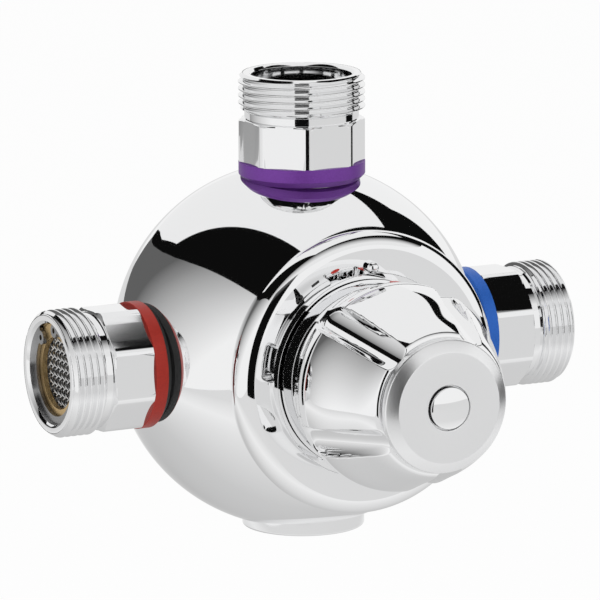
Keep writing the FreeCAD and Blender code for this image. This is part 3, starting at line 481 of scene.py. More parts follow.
def turned(name, outline, matrix, material, turns=TURNS):
    """A lathe-turned piece."""
    points, faces = spun(outline, turns)
    return mesh_piece(name, points, faces, matrix, material)


print("lathe ready,", TURNS, "steps round")

# %% [markdown]
# ## The ball
# The casting is a ball with a short neck at the front, which stays hidden behind the bonnet. It could
# be a sphere primitive, but the neck belongs to the same casting, so the whole form is spun as one
# outline about the knob's axis.

# %% The casting's outline
BALL_BACK = 5.0
BALL_R = high("valve_body", "Y") - BALL_BACK
BALL_STEPS = 150
NECK_R = 43.4


def ball_outline():
    """Ball and neck, from the back of the ball to the front."""
    leave = math.asin(NECK_R / BALL_R)
    turns = [math.pi + (leave - math.pi) * step / BALL_STEPS for step in range(1, BALL_STEPS + 1)]
    ball = [(BALL_R * math.sin(turn), BALL_R * math.cos(turn) - BALL_BACK) for turn in turns]
    return [(0.0, -BALL_BACK - BALL_R)] + ball + [(NECK_R, NECK_END), (0.0, NECK_END)]


print("ball radius", round(BALL_R, 2), "outline points", len(ball_outline()))

# %% [markdown]
# ## Seats for the ports
# Every port has a round seat cut into the ball. A coloured ring has a chamfered foot, and its seat is a
# cone that fits the foot, so that ring and ball meet in a hairline. The cuts are booleans, because a
# seat meets a ball in a curve that no grid follows.

# %% Port sizes and cutters
PORT_BORE_R = 17.6
PASSAGE_R = 14.0
PASSAGE_END = 32.0
PORT_FLOOR = 40.0
SEAT_FIT = 0.1
PLUG_CLEAR = 0.4
PLUG_R = 20.4
PLUG_HEAD = 5.0
PLUG_SEAT = -low("bottom_plug", "Z") + CROSS_Z - PLUG_HEAD
RING_CHAMFER = 2.0
FOOT_R = THREAD_R - RING_CHAMFER
CUT_PAST = 20.0
CUTTER_TURNS = 256


def seat_cutter(seat, foot_r, rim_r, matrix):
    """What a port removes from the ball: the seat with its cone, the bore and the passage behind it."""
    beyond = seat + CUT_PAST
    outline = [(0, PASSAGE_END), (PASSAGE_R, PASSAGE_END), (PASSAGE_R, PORT_FLOOR),
               (PORT_BORE_R, PORT_FLOOR), (PORT_BORE_R, seat), (foot_r, seat),
               (rim_r, seat + RING_CHAMFER), (rim_r, beyond), (0, beyond)]
    return turned("cutter", outline, matrix, raw_casting, CUTTER_TURNS)


def cut(piece, cutters):
    """Cut shapes out of a piece and throw the cutters away."""
    for cutter in cutters:
        change = piece.modifiers.new("cut", "BOOLEAN")
        change.object = cutter
        change.operation = "DIFFERENCE"
        change.solver = "EXACT"
    bpy.context.view_layer.update()
    shaped = bpy.data.meshes.new_from_object(piece.evaluated_get(bpy.context.evaluated_depsgraph_get()))
    piece.modifiers.clear()
    piece.data = shaped
    for cutter in cutters:
        bpy.data.objects.remove(cutter)


print("plug seat at", round(PLUG_SEAT, 2))

# %% [markdown]
# ## Cast and cut
# A boolean leaves long odd faces in the ball, and a mirror shows every one of them. So after the cut
# the ball's own normals are written back wherever a corner lies on it. The bores keep the look of bare
# casting.

# %% Cast and cut the body
BODY_TURNS = 288
ALMOST = 0.05
ON_BALL = 2e-6
valve_body = turned("cast_body", ball_outline(), FRONT, body_chrome, BODY_TURNS)
valve_body.data.materials.append(raw_casting)
ports = [(PORT_SEAT, FOOT_R + SEAT_FIT, THREAD_R + SEAT_FIT, way) for way in (HOT, COLD, MIXED)]
ports.append((PLUG_SEAT, PLUG_R + PLUG_CLEAR, PLUG_R + PLUG_CLEAR, DOWN))
cut(valve_body, [seat_cutter(*one) for one in ports])
smooth(valve_body, SHARP_ABOVE)


def mark_casting(piece):
    """Bare casting inside the ports; chrome everywhere else."""
    inside = [(matrix.inverted(), seat) for seat, _, _, matrix in ports]
    for face in piece.data.polygons:
        face.material_index = 0
        for to_port, seat in inside:
            spot = to_port @ face.center
            if math.hypot(spot.x, spot.y) < PORT_BORE_R + ALMOST and 0 < spot.z < seat - ALMOST:
                face.material_index = 1


def true_sphere_normals(piece):
    """Give every corner that lies on the ball the ball's own normal."""
    centre = Vector((0, BALL_BACK * MM, CROSS_Z * MM))
    radius = BALL_R * MM
    normals = [Vector(corner.vector) for corner in piece.data.corner_normals]
    count = 0
    for face in piece.data.polygons:
        corners = [piece.data.vertices[v].co - centre for v in face.vertices]
        outwards = face.normal.dot(corners[0].normalized()) > 0.9
        if outwards and all(abs(corner.length - radius) < ON_BALL for corner in corners):
            for loop, corner in zip(face.loop_indices, corners):
                normals[loop] = corner.normalized()
                count += 1
    piece.data.normals_split_custom_set(normals)
    return count


mark_casting(valve_body)
print("sphere corners with true normals", true_sphere_normals(valve_body))
dress(valve_body, "valve", "body_chrome", "valve_body")

# %% [markdown]
# ## A rolled thread
# A thread is a ridge that climbs one pitch per turn. A displaced cylinder would cut across its own grid
# lines, so the grid itself is laid along the helix: rows run across one pitch, and each turn's last row
# is the next turn's first. Heights are held between the two ends, where a chamfer cone trims the
# crests, as a lathe does.

# %% The thread
PITCH = 2.309
THREAD_DEPTH = 1.479
THREAD_LEN = 12.1
THREAD_LOW = UNION_END - THREAD_LEN
ROOT_R = THREAD_R - THREAD_DEPTH
FLANK_STEEP = 1.3
ROOT_FLAT = 0.15
RUNOUT_STEEP = 2.4
ACROSS_PITCH = 14
ROUND_TURN = 144


def thread_points():
    """Points and faces of the ridge from its low end to its high end."""
    turns = math.ceil(THREAD_LEN / PITCH) + 2
    columns = turns * ROUND_TURN + 1
    points = []
    for column in range(columns):
        angle = 2 * math.pi * column / ROUND_TURN
        start = THREAD_LOW + PITCH * (column / ROUND_TURN - 2)
        for row in range(ACROSS_PITCH + 1):
            share = row / ACROSS_PITCH
            height = min(max(start + PITCH * share, THREAD_LOW), UNION_END)
            flank = min(max((1 - abs(2 * share - 1)) * FLANK_STEEP - ROOT_FLAT, 0.0), 1.0)
            ridge = ROOT_R + THREAD_DEPTH * flank
            trim = min(ROOT_R + (height - THREAD_LOW) * RUNOUT_STEEP, ROOT_R + (UNION_END - height))
            radius = min(ridge, trim)
            points.append((radius * math.cos(angle), radius * math.sin(angle), height))
    rows = ACROSS_PITCH + 1
    faces = []
    for column in range(columns - 1):
        for row in range(ACROSS_PITCH):
            a = column * rows + row
            corners = (a, a + rows, a + rows + 1, a + 1)
            heights = [points[c][2] for c in corners]
            if max(heights) - min(heights) > 1e-6:
                faces.append(corners)
    return points, faces


thread_shape = thread_points()
print("thread faces", len(thread_shape[1]))

# %% [markdown]
# ## Grids of radii
# The flats and the knob aren't round, so the lathe can't make them. Both are drawn as rows instead: at
# each height there is one radius for every angle. One helper joins such rows into four-sided faces, and
# another takes the smaller of two radii and rounds the edge where they cross.

# %% Grids and soft edges


def soft_min(first, second, ease):
    """The smaller of two arrays, with the corner between them rounded."""
    share = np.clip(0.5 + 0.5 * (second - first) / ease, 0.0, 1.0)
    return second * (1 - share) + first * share - ease * share * (1 - share)


def grid(rows, levels, angles):
    """Points and faces of rows of radii that close round the axis."""
    count = len(angles)
    points = []
    for row, level in zip(rows, levels):
        heights = np.broadcast_to(level, (count,))
        points.extend(zip(row * np.cos(angles), row * np.sin(angles), heights))
    faces = []
    for r in range(len(rows) - 1):
        for i in range(count):
            j = (i + 1) % count
            faces.append((r * count + i, r * count + j, (r + 1) * count + j, (r + 1) * count + i))
    return points, faces


eased = soft_min(np.array([1.0]), np.array([1.0]), 0.2)[0]
print("two equal radii of 1 with an ease of 0.2 meet at", round(float(eased), 3))

# %% [markdown]
# ## The spanner flats
# Eight flats are milled on each union, and the lathe has left a narrow land at every corner. A flat is
# a plane, so the radius at an angle is the distance to the flat divided by a cosine. The land is the
# largest radius that is allowed, and blending the two over a tenth of a millimetre rounds the edge
# between them. A cone trims the outer end.

# %% The octagon
FLATS = 39.3
FLATS_TALL = 14.4
LAND_EASE = 0.12
OCTAGON_TOP = RING_TOP + FLATS_TALL
OCTAGON_INNER = 17.0
FOOT_EASE = 0.15
TRIM_TALL = 0.9
TRIM_PAST = 0.3


def octagon_angles():
    """Angles that are dense beside the edges of each land."""
    edge = math.degrees(math.acos(FLATS / 2 / THREAD_R))
    beside = np.array([-0.9, -0.45, -0.15, 0.15, 0.45, 0.9])
    across = np.concatenate([[-22.5], beside - edge, [-17.0, -9.0, 0.0, 9.0, 17.0], edge + beside])
    return np.radians(np.concatenate([across + 45.0 * flat for flat in range(8)]))


def octagon_points():
    """Points and faces of the flats, closed inwards at both ends."""
    angles = octagon_angles()
    half = FLATS / 2
    from_flat = (angles + math.pi / 8) % (math.pi / 4) - math.pi / 8
    radius = soft_min(half / np.cos(from_flat), THREAD_R - 0.01, LAND_EASE)
    corner = radius.max()
    trim_low = OCTAGON_TOP - TRIM_TALL
    heights = [RING_TOP, RING_TOP + FOOT_EASE] + list(np.linspace(trim_low, OCTAGON_TOP, 10))
    rows = [np.full_like(angles, OCTAGON_INNER)]
    levels = [RING_TOP]
    for level in heights:
        into_trim = max(0.0, level - trim_low) / TRIM_TALL
        cone = corner - (corner - half + TRIM_PAST) * into_trim
        if level == RING_TOP:
            cone = corner - FOOT_EASE
        rows.append(np.minimum(radius, cone))
        levels.append(level)
    rows.append(np.full_like(angles, OCTAGON_INNER))
    levels.append(OCTAGON_TOP)
    return grid(rows, levels, angles)


octagon_shape = octagon_points()
print("octagon faces", len(octagon_shape[1]))

# %% [markdown]
# ## The unions
# A union is one turned piece: a spigot that goes into the body, a land that carries the coloured ring,
# the flats, a relief groove and the thread. The lathe makes the core, and the flats and the thread are
# laid over it.

# %% Three unions
LAND_R = 17.5
RELIEF_R = 18.9
MOUTH_R = 16.7
MOUTH_CHAMFER = 0.9
MOUTH_DEPTH = 6.6
CHECK_LIP_R = 11.9
CHECK_LIP = 4.1
CHECK_BORE_R = 13.0
LEAD_IN = 0.8
UNDER_FLATS = 0.5
THREAD_RUNOUT = 0.6


def union_core():
    """The turned core, from the spigot to the mouth and back down the bore."""
    filter_seat = UNION_END - MOUTH_DEPTH
    check_top = filter_seat - CHECK_LIP
    relief_low = OCTAGON_TOP - UNDER_FLATS
    return [(CHECK_BORE_R, SPIGOT_END), (LAND_R - LEAD_IN, SPIGOT_END), (LAND_R, SPIGOT_END + LEAD_IN),
            (LAND_R, relief_low), (RELIEF_R, relief_low), (RELIEF_R, THREAD_LOW - THREAD_RUNOUT),
            (ROOT_R, THREAD_LOW), (ROOT_R, UNION_END, 0.25), (MOUTH_R + MOUTH_CHAMFER, UNION_END, 0.25),
            (MOUTH_R, UNION_END - MOUTH_CHAMFER, 0.15), (MOUTH_R, filter_seat), (CHECK_LIP_R, filter_seat),
            (CHECK_LIP_R, check_top), (CHECK_BORE_R, check_top)]


def make_union(water, matrix, flats_turn):
    """One union. Its flats end up wherever the thread came tight, so each has a small turn of its own."""
    core = turned(water + "_union_piece", union_core(), matrix, union_chrome)
    thread = mesh_piece("thread", *thread_shape, matrix, union_chrome, 60.0)
    tight = matrix @ Matrix.Rotation(math.radians(flats_turn), 4, "Z")
    flats = mesh_piece("flats", *octagon_shape, tight, union_chrome, 24.0)
    union = joined([core, thread, flats])
    dress(union, "valve", "union_chrome", water + "_union")


for water, matrix, flats_turn in (("hot", HOT, 2.5), ("cold", COLD, 0.0), ("mixed", MIXED, 1.8)):
    make_union(water, matrix, flats_turn)
print("unions", 3)

# %% [markdown]
# ## The coloured rings on their lands
# Each ring is turned too, with a chamfer where it faces the ball. The hot ring is black on its chamfer and
# foot, the faces next to the ball, and the ball mirrors that black band. The black is a second material
# slot, the rubber finish, on the chamfer's and the foot's faces, because a thin black lip would be lost
# between two solids.

# %% Three rings
RING_HOLE_R = 17.6
CHAMFER_FINISH_BELOW = PORT_SEAT + RING_CHAMFER - 0.3


def make_ring(water, matrix, colour, slot, chamfer_finish):
    """One ring, with a second material on the faces next to the ball."""
    outline = [(RING_HOLE_R, PORT_SEAT), (FOOT_R, PORT_SEAT, 0.2), (THREAD_R, PORT_SEAT + RING_CHAMFER, 0.3),
               (THREAD_R, RING_TOP, 0.25), (RING_HOLE_R, RING_TOP)]
    ring = turned(water + "_ring_piece", outline, matrix, colour)
    ring.data.materials.append(chamfer_finish)
    to_port = matrix.inverted()
    for face in ring.data.polygons:
        if (to_port @ face.center).z < CHAMFER_FINISH_BELOW:
            face.material_index = 1
    dress(ring, "valve", slot, water + "_ring")


# The hot ring's chamfer and foot take the black rubber finish, and the ball mirrors that black band.
make_ring("hot", HOT, hot_red, "hot_red", rubber)
make_ring("cold", COLD, cold_blue, "cold_blue", cold_blue)
make_ring("mixed", MIXED, mixed_purple, "mixed_purple", mixed_purple)
print("rings", 3)

# %% [markdown]
# ## The woven strainers
# The strainer in each inlet is woven wire, set diagonally. A picture of a mesh would look flat, so the
# wires are real: each is a thin tube that waves over and under the wires that cross it.

# %% Woven mesh
MESH_PITCH = 2.1
WIRE_R = 0.34
MESH_R = 12.6
MESH_FRONT = UNION_END - 5.3
RIM_LAP = 0.3
WIRE_SIDES = 6
WAVE_STEPS = 8


def wire_points(offset, phase, cross, points, faces):
    """Add one waving wire, parallel to local X or Y."""
    half = math.sqrt(MESH_R ** 2 - offset ** 2)
    count = max(6, round(2 * half / MESH_PITCH * WAVE_STEPS))
    first = len(points)
    for step in range(count + 1):
        along = -half + 2 * half * step / count
        wave = WIRE_R * math.cos(math.pi * along / MESH_PITCH + phase)
        for side in range(WIRE_SIDES):
            angle = 2 * math.pi * side / WIRE_SIDES
            across = offset + WIRE_R * math.cos(angle)
            depth = MESH_FRONT - 2 * WIRE_R + wave + WIRE_R * math.sin(angle)
            points.append((across, along, depth) if cross else (along, across, depth))
    for step in range(count):
        for side in range(WIRE_SIDES):
            a = first + step * WIRE_SIDES + side
            b = first + step * WIRE_SIDES + (side + 1) % WIRE_SIDES
            faces.append((a, b, b + WIRE_SIDES, a + WIRE_SIDES))


one_wire = ([], [])
wire_points(0.0, 0.0, False, *one_wire)
print("points in the longest wire", len(one_wire[0]))

# %% [markdown]
# ## Two strainers
# Two layers of wires cross at right angles, and each wire starts half a wave later than its neighbour,
# so they pass over and under by turns. The weave is turned by 45 degrees and held by a plain rim.

# %% Two strainers


def make_strainer(water, matrix):
    """One strainer: two layers of wires that cross, and the rim that holds them."""
    points = []
    faces = []
    reach = int((MESH_R - WIRE_R) / MESH_PITCH)
    for cross in (False, True):
        for line in range(-reach, reach + 1):
            phase = math.pi * line + (math.pi if cross else 0.0)
            wire_points(line * MESH_PITCH, phase, cross, points, faces)
    diagonal = matrix @ Matrix.Rotation(math.radians(45.0), 4, "Z")
    weave = mesh_piece(water + "_strainer", points, faces, diagonal, mesh_steel, 80.0)
    rim_in, rim_out, rim_low = MESH_R - RIM_LAP, MOUTH_R - SEAT_FIT, UNION_END - MOUTH_DEPTH
    rim_outline = [(rim_in, rim_low), (rim_out, rim_low), (rim_out, MESH_FRONT), (rim_in, MESH_FRONT)]
    rim = turned("rim", rim_outline, matrix, mesh_steel, 128)
    dress(joined([weave, rim]), "valve", "mesh_steel", water + "_filter")
    return len(faces)


print("wire faces", make_strainer("hot", HOT) + make_strainer("cold", COLD))

# %% [markdown]
# ## The plug
# The fourth port is closed by a plain plug. Its flat face is the valve's lowest place, and it has two
# small holes for a pin spanner.

# %% Bottom plug
SPANNER_HOLE_R = 2.5
SPANNER_PITCH_R = 12.0
SPANNER_HOLE_DEEP = 3.0
PLUG_SPIGOT = 14.0
spigot_low = PLUG_SEAT - PLUG_SPIGOT
plug_outline = [(0, spigot_low), (LAND_R, spigot_low), (LAND_R, PLUG_SEAT), (PLUG_R, PLUG_SEAT),
                (PLUG_R, PLUG_FACE, 0.7), (0, PLUG_FACE)]
bottom_plug = turned("bottom_plug_piece", plug_outline, DOWN, union_chrome)
hole_low, hole_high = PLUG_FACE - SPANNER_HOLE_DEEP, PLUG_FACE + 1.0
hole_outline = [(0, hole_low), (SPANNER_HOLE_R, hole_low), (SPANNER_HOLE_R, hole_high), (0, hole_high)]
spanner_holes = [turned("hole", hole_outline, DOWN @ Matrix.Translation((side * SPANNER_PITCH_R, 0, 0)),
                        union_chrome, 40) for side in (-1, 1)]
cut(bottom_plug, spanner_holes)
smooth(bottom_plug, SHARP_ABOVE)
dress(bottom_plug, "valve", "union_chrome", "bottom_plug")
print("plug face at", round(PLUG_FACE, 2))

# %% [markdown]
# ## The bonnet
# The bonnet is the bright ring behind the knob. It swells from the neck to its widest place, rolls over
# and meets its flat face in a fine edge, and has a recess for the knob's skirt. The roll is part of an
# ellipse, which stops short of flat: that short stop is what leaves the edge, and the edge shows as a
# hairline of light.

# %% Bonnet
BONNET_REAR_R = 45.2
BONNET_BORE_R = 38.1
SPINDLE_HOLE_R = 12.0
BONNET_BULGE_R = (high("bonnet", "X") - low("bonnet", "X")) / 2
BONNET_BULGE = NECK_END + 6.0
FLARE_HALF_WAY = NECK_END + 3.0
FLARE_SHARE = 0.72
BONNET_FACE_R = 41.8
GROOVE_R = 33.6
GROOVE_FLOOR = BONNET_FACE - 3.2
WEB_REAR = NECK_END + 5.0
ROLL_ENDS = math.radians(22.0)
ROLL_STEPS = 30
flare_r = BONNET_REAR_R + (BONNET_BULGE_R - BONNET_REAR_R) * FLARE_SHARE
flare = arc((BONNET_REAR_R, NECK_END), (flare_r, FLARE_HALF_WAY), (BONNET_BULGE_R, BONNET_BULGE), 10)
roll_back = (BONNET_BULGE_R - BONNET_FACE_R) / (1 - math.sin(ROLL_ENDS))
roll_tall = (BONNET_FACE - BONNET_BULGE) / math.cos(ROLL_ENDS)
roll_sweep = ROLL_ENDS - math.pi / 2
roll_turns = [math.pi / 2 + roll_sweep * step / ROLL_STEPS for step in range(1, ROLL_STEPS + 1)]
roll = [(BONNET_BULGE_R - roll_back * (1 - math.sin(turn)), BONNET_BULGE + roll_tall * math.cos(turn))
        for turn in roll_turns]
bonnet_outline = [(BONNET_BORE_R, NECK_END), (BONNET_REAR_R, NECK_END)] + flare + roll + [
    (GROOVE_R, BONNET_FACE, 0.3), (GROOVE_R, GROOVE_FLOOR), (SPINDLE_HOLE_R, GROOVE_FLOOR),
    (SPINDLE_HOLE_R, WEB_REAR), (BONNET_BORE_R, WEB_REAR)]
bonnet = turned("bonnet_piece", bonnet_outline, FRONT, front_chrome, 320)
smooth(bonnet, 12.0)
dress(bonnet, "valve", "front_chrome", "bonnet")
print("bonnet widest", round(2 * BONNET_BULGE_R, 1))

# %% [markdown]
# ## The index stud
# A domed stud stands at twelve o'clock on the bonnet's face. It is a small turned pin: a peg that sits
# in the bonnet, a straight side and half a ball.

# %% Index stud
STUD_R = 2.1
STUD_PITCH_R = 35.9
PEG_R = 1.4
PEG_LOW = BONNET_FACE - 1.5
DOME_LOW = BONNET_FACE + 1.2
dome_side = (STUD_R * math.cos(math.pi / 4), DOME_LOW + STUD_R * math.sin(math.pi / 4))
dome_top = (0.0, DOME_LOW + STUD_R)
stud_outline = [(0, PEG_LOW), (PEG_R, PEG_LOW), (PEG_R, BONNET_FACE), (STUD_R, BONNET_FACE),
                (STUD_R, DOME_LOW)]
stud_outline += arc((STUD_R, DOME_LOW), dome_side, dome_top, 12)
stud_outline[-1] = dome_top
stud_frame = FRONT @ Matrix.Translation((0, STUD_PITCH_R, 0))
stud = turned("index_stud_piece", stud_outline, stud_frame, front_chrome, 64)
dress(stud, "valve", "front_chrome", "index_stud")
print("stud stands out", round(dome_top[1] - BONNET_FACE, 2))

# %% [markdown]
# ## Marks on the scale
# Beside the stud, a red dot, a minus and a plus say which way to turn. On the real bonnet they are flat
# marks. As thin raised shapes they stay sharp at any distance, which a picture of them wouldn't.

# %% Scale marks
MARK_R = 38.0
MARK_PROUD = 0.12
MARK_LONG = 3.0
MARK_THIN = 0.75


def on_face(angle, radius):
    """The frame of a mark on the bonnet's face, at an angle anticlockwise from the right."""
    spot = Matrix.Rotation(math.radians(angle - 90.0), 4, "Z") @ Matrix.Translation((0, radius, BONNET_FACE))
    return FRONT @ spot


def bar(name, wide, tall, matrix, material):
    """A thin raised bar."""
    x, y = wide / 2, tall / 2
    corners = ((-x, -y), (x, -y), (x, y), (-x, y))
    points = [(*corner, height) for height in (-MARK_PROUD, MARK_PROUD) for corner in corners]
    faces = [(3, 2, 1, 0), (4, 5, 6, 7), (0, 1, 5, 4), (1, 2, 6, 5), (2, 3, 7, 6), (3, 0, 4, 7)]
    return mesh_piece(name, points, faces, matrix, material)


flat_oval = on_face(110.0, MARK_R) @ Matrix.Diagonal((1.65, 0.5, 1.0, 1.0))
unit_disc = [(0, -MARK_PROUD), (1, -MARK_PROUD), (1, MARK_PROUD), (0, MARK_PROUD)]
hot_dot = turned("scale_dot", unit_disc, flat_oval, red_paint, 40)
minus = bar("scale_minus", MARK_LONG, MARK_THIN, on_face(122.0, MARK_R), black_ink)
plus_at = on_face(133.0, MARK_R)
plus = joined([bar("scale_plus", MARK_LONG, MARK_THIN, plus_at, black_ink),
               bar("upright", MARK_THIN, MARK_LONG, plus_at, black_ink)])
for mark in (hot_dot, minus, plus):
    dress(mark, "valve", "front_chrome")
print("marks", 3)

# %% [markdown]
# ## The knob
# The knob swells and tapers like a bulb, and five long flutes leave five lobes. It could be cut with
# booleans, but the mirror finish needs a clean even grid. So the surface is worked out directly: at
# each angle and height the radius is the smaller of the turned curve and the near wall of a flute
# cutter, with the edge between them rounded. A pocket at the foot of each lobe is pressed in the same
# way.

# %% Knob sizes
SKIRT_R = 31.2
SKIRT_TALL = 9.9
SKIRT_WALL = 3.2
SKIRT_END = KNOB_REAR + SKIRT_TALL
LOBE_BASE = SKIRT_END + 1.0
LOBE_BASE_R = 32.3
KNOB_FRONT_R = 22.9
LOBE_LEN = KNOB_FRONT - LOBE_BASE
LOBES = 5
LOBE_AT = 98.0
FLUTE_R = 5.5
FLUTE_BASE_R = LOBE_BASE_R + 0.6 + FLUTE_R
FLUTE_FRONT_R = KNOB_FRONT_R - 1.5 + FLUTE_R
FLUTE_EDGE = 2.2
POCKET_HALF = 6.0
POCKET_TOP = LOBE_BASE + 4.4
POCKET_FLOOR_R = LOBE_BASE_R - 3.6
POCKET_CORNER = 1.4
WALL_EASE = 0.22
FRONT_EASE = 0.9
print("lobe length", round(LOBE_LEN, 2))

# %% [markdown]
# ## The lobes' turned curve
# Before it is fluted, the knob is a turned bulb. Its side swells from the base edge to the belly, then
# falls faster and faster to the front. A few measured places are enough: each gives how far along the
# lobe it is, how far it swells past the base edge, and what share of the whole drop it has fallen. One
# smooth polynomial runs through them, because a mirror shows every kink between straight pieces.

# %% The turned curve of the lobes
BELLY = ((0.0, 0.0, 0.0), (0.19, 1.45, 0.0), (0.41, 1.25, 0.02), (0.66, 0.0, 0.30), (0.84, -0.05, 0.62),
         (1.0, 0.0, 1.0))


def lobe_curve():
    """A polynomial through the lobe's base edge, belly, shoulder and front edge."""
    drop = LOBE_BASE_R - KNOB_FRONT_R
    shares = [share for share, _, _ in BELLY]
    radii = [LOBE_BASE_R + swell - fall * drop for _, swell, fall in BELLY]
    return np.poly1d(np.polyfit(shares, radii, 5))


belly_curve = lobe_curve()


def turned_radius(height):
    """The knob's radius before it is fluted."""
    if height <= SKIRT_END:
        return SKIRT_R
    if height < LOBE_BASE:
        return SKIRT_R + (LOBE_BASE_R - SKIRT_R) * (height - SKIRT_END) / (LOBE_BASE - SKIRT_END)
    radius = belly_curve((height - LOBE_BASE) / LOBE_LEN)
    into_edge = max(0.0, height - (KNOB_FRONT - FRONT_EASE))
    return radius - (FRONT_EASE - math.sqrt(FRONT_EASE ** 2 - min(into_edge, FRONT_EASE) ** 2))


print("belly radius", round(max(turned_radius(h) for h in np.linspace(LOBE_BASE, KNOB_FRONT, 50)), 2))

# %% [markdown]
# ## Flutes and pockets as sums
# A flute is what a round cutter leaves when it runs along the knob, tilted with the lobe's fall. Where
# its near wall lies at an angle is the answer of a quadratic equation. A pocket is a rounded window at
# the foot of a lobe: the distance to its edge says how deep the radius is pressed, over a wall a fifth
# of a millimetre wide.

# %% Flutes and pockets
PAST_CUTTER = 30.0


def flute_radius(angles, height):
    """How far out the near wall of a tilted round cutter is, at each angle from the flute's middle."""
    share = (height - LOBE_BASE) / LOBE_LEN
    middle = FLUTE_BASE_R + (FLUTE_FRONT_R - FLUTE_BASE_R) * share
    tilt = math.atan((FLUTE_BASE_R - FLUTE_FRONT_R) / LOBE_LEN)
    radial = FLUTE_R / math.cos(tilt)
    a = np.cos(angles) ** 2 / radial ** 2 + np.sin(angles) ** 2 / FLUTE_R ** 2
    b = -2 * middle * np.cos(angles) / radial ** 2
    c = middle ** 2 / radial ** 2 - 1
    inside = b * b - 4 * a * c
    wall = (-b - np.sqrt(np.maximum(inside, 0.0))) / (2 * a)
    return np.where((inside > 0) & (np.cos(angles) > 0), wall, middle + PAST_CUTTER)


def pocket_share(angles, height):
    """1 inside a lobe's pocket and 0 outside, over a narrow wall."""
    across = np.abs(LOBE_BASE_R * np.sin(angles)) - (POCKET_HALF - POCKET_CORNER)
    up = height - (POCKET_TOP - POCKET_CORNER)
    past_window = np.hypot(np.maximum(across, 0), max(up, 0)) + np.minimum(np.maximum(across, up), 0)
    share = np.clip(0.5 - (past_window - POCKET_CORNER) / WALL_EASE, 0.0, 1.0)
    return np.where((np.cos(angles) > 0) & (height > SKIRT_END - 0.3), share, 0.0)


def knob_row(angles, height):
    """The knob's radius at every angle for one height."""
    pitch = 2 * math.pi / LOBES
    from_lobe = (angles - math.radians(LOBE_AT) + pitch / 2) % pitch - pitch / 2
    from_flute = (angles - math.radians(LOBE_AT)) % pitch - pitch / 2
    radius = np.full_like(angles, turned_radius(height))
    if height > LOBE_BASE - 1.0:
        radius = soft_min(radius, flute_radius(from_flute, max(height, LOBE_BASE)), FLUTE_EDGE)
    pocket = pocket_share(from_lobe, height)
    return radius * (1 - pocket) + np.minimum(radius, POCKET_FLOOR_R) * pocket


middle_row = knob_row(np.arange(360) * math.pi / 180, (LOBE_BASE + KNOB_FRONT) / 2)
print("radius half way up, in a flute and on a lobe", round(middle_row.min(), 2), round(middle_row.max(), 2))

# %% [markdown]
# ## The knob's grid
# The rows are close together where the shape changes fast, which is round the pockets and at the front
# edge, and wide apart on the plain skirt. The steps round the knob are the same in every row, so the
# faces stay even four-sided ones and the mirror stays calm.

# %% Knob grid
AROUND = 840
POCKET_ROWS = 34
LOBE_ROWS = 60
EDGE_ROWS = 10
angles = np.arange(AROUND) * 2 * math.pi / AROUND
heights = np.concatenate([
    np.linspace(KNOB_REAR, KNOB_REAR + 0.3, 3),
    np.linspace(KNOB_REAR + 2.5, SKIRT_END - 0.6, 4),
    np.linspace(SKIRT_END - 0.4, POCKET_TOP + 0.4, POCKET_ROWS),
    np.linspace(POCKET_TOP + 0.8, KNOB_FRONT - FRONT_EASE, LOBE_ROWS),
    np.linspace(KNOB_FRONT - FRONT_EASE * 0.9, KNOB_FRONT, EDGE_ROWS)])
skirt_inside = np.full(AROUND, SKIRT_R - SKIRT_WALL)
front_inside = np.full(AROUND, 15.0)
knob_rows = [skirt_inside, skirt_inside] + [knob_row(angles, height) for height in heights] + [front_inside]
knob_levels = [KNOB_REAR + 9.0, KNOB_REAR, *heights, KNOB_FRONT]
knob = mesh_piece("knob_piece", *grid(knob_rows, knob_levels, angles), FRONT, knob_chrome, 85.0)
dress(knob, "knob", "knob_chrome", "knob")
print("knob faces", len(knob.data.polygons))

# %% [markdown]
# ## Knob dot, cap and cover
# A red dot on the top lobe meets the scale. The cap is a bevelled satin disc with a round hole, and a
# polished domed cover sits in the hole. Both are turned. The dot is a thin disc of paint that stands on
# the lobe's turned curve.

# %% Cap, cover and dot
CAP_BORE_R = 5.0
CAP_R = 21.7
CAP_FACE_R = 18.0
CAP_HOLE_R = 7.4
CAP_REAR = KNOB_FRONT + 0.2
CAP_BAND = CAP_REAR + 2.8
CAP_FACE = -low("knob_cap", "Y")
HOLE_FLOOR = CAP_FACE - 3.3
cap_outline = [(CAP_BORE_R, CAP_REAR), (CAP_R, CAP_REAR, 0.2), (CAP_R, CAP_BAND, 0.7),
               (CAP_FACE_R, CAP_FACE, 0.6), (CAP_HOLE_R, CAP_FACE, 0.35), (CAP_HOLE_R, HOLE_FLOOR),
               (CAP_BORE_R, HOLE_FLOOR)]
cap = turned("cap_piece", cap_outline, FRONT, satin_chrome)
dress(cap, "knob", "knob_chrome", "knob_cap")
COVER_R = 6.8
COVER_TOP = -low("screw_cover", "Y")
COVER_DOME = 1.1
COVER_EASE = 0.4
COVER_LOW = HOLE_FLOOR + 0.05
COVER_EDGE = COVER_TOP - COVER_DOME
dome_r = COVER_R - COVER_EASE
dome_ball = (dome_r ** 2 + COVER_DOME ** 2) / (2 * COVER_DOME)
half_way = math.asin(dome_r / dome_ball) / 2
dome_middle = (dome_ball * math.sin(half_way), COVER_TOP - dome_ball * (1 - math.cos(half_way)))
cover_outline = [(0.0, COVER_LOW), (COVER_R, COVER_LOW), (COVER_R, COVER_EDGE - COVER_EASE),
                 (COVER_R - 0.12, COVER_EDGE - 0.12), (dome_r, COVER_EDGE)]
cover_outline += arc((dome_r, COVER_EDGE), dome_middle, (0.0, COVER_TOP), 14)
cover_outline[-1] = (0.0, COVER_TOP)
cover = turned("cover_piece", cover_outline, FRONT, knob_chrome, 128)
dress(cover, "knob", "knob_chrome", "screw_cover")
DOT_AT = math.radians(84.0)
DOT_R = 2.1
DOT_HEIGHT = LOBE_BASE + 2.6
dot_spot = Matrix.Translation((turned_radius(DOT_HEIGHT), 0, DOT_HEIGHT))
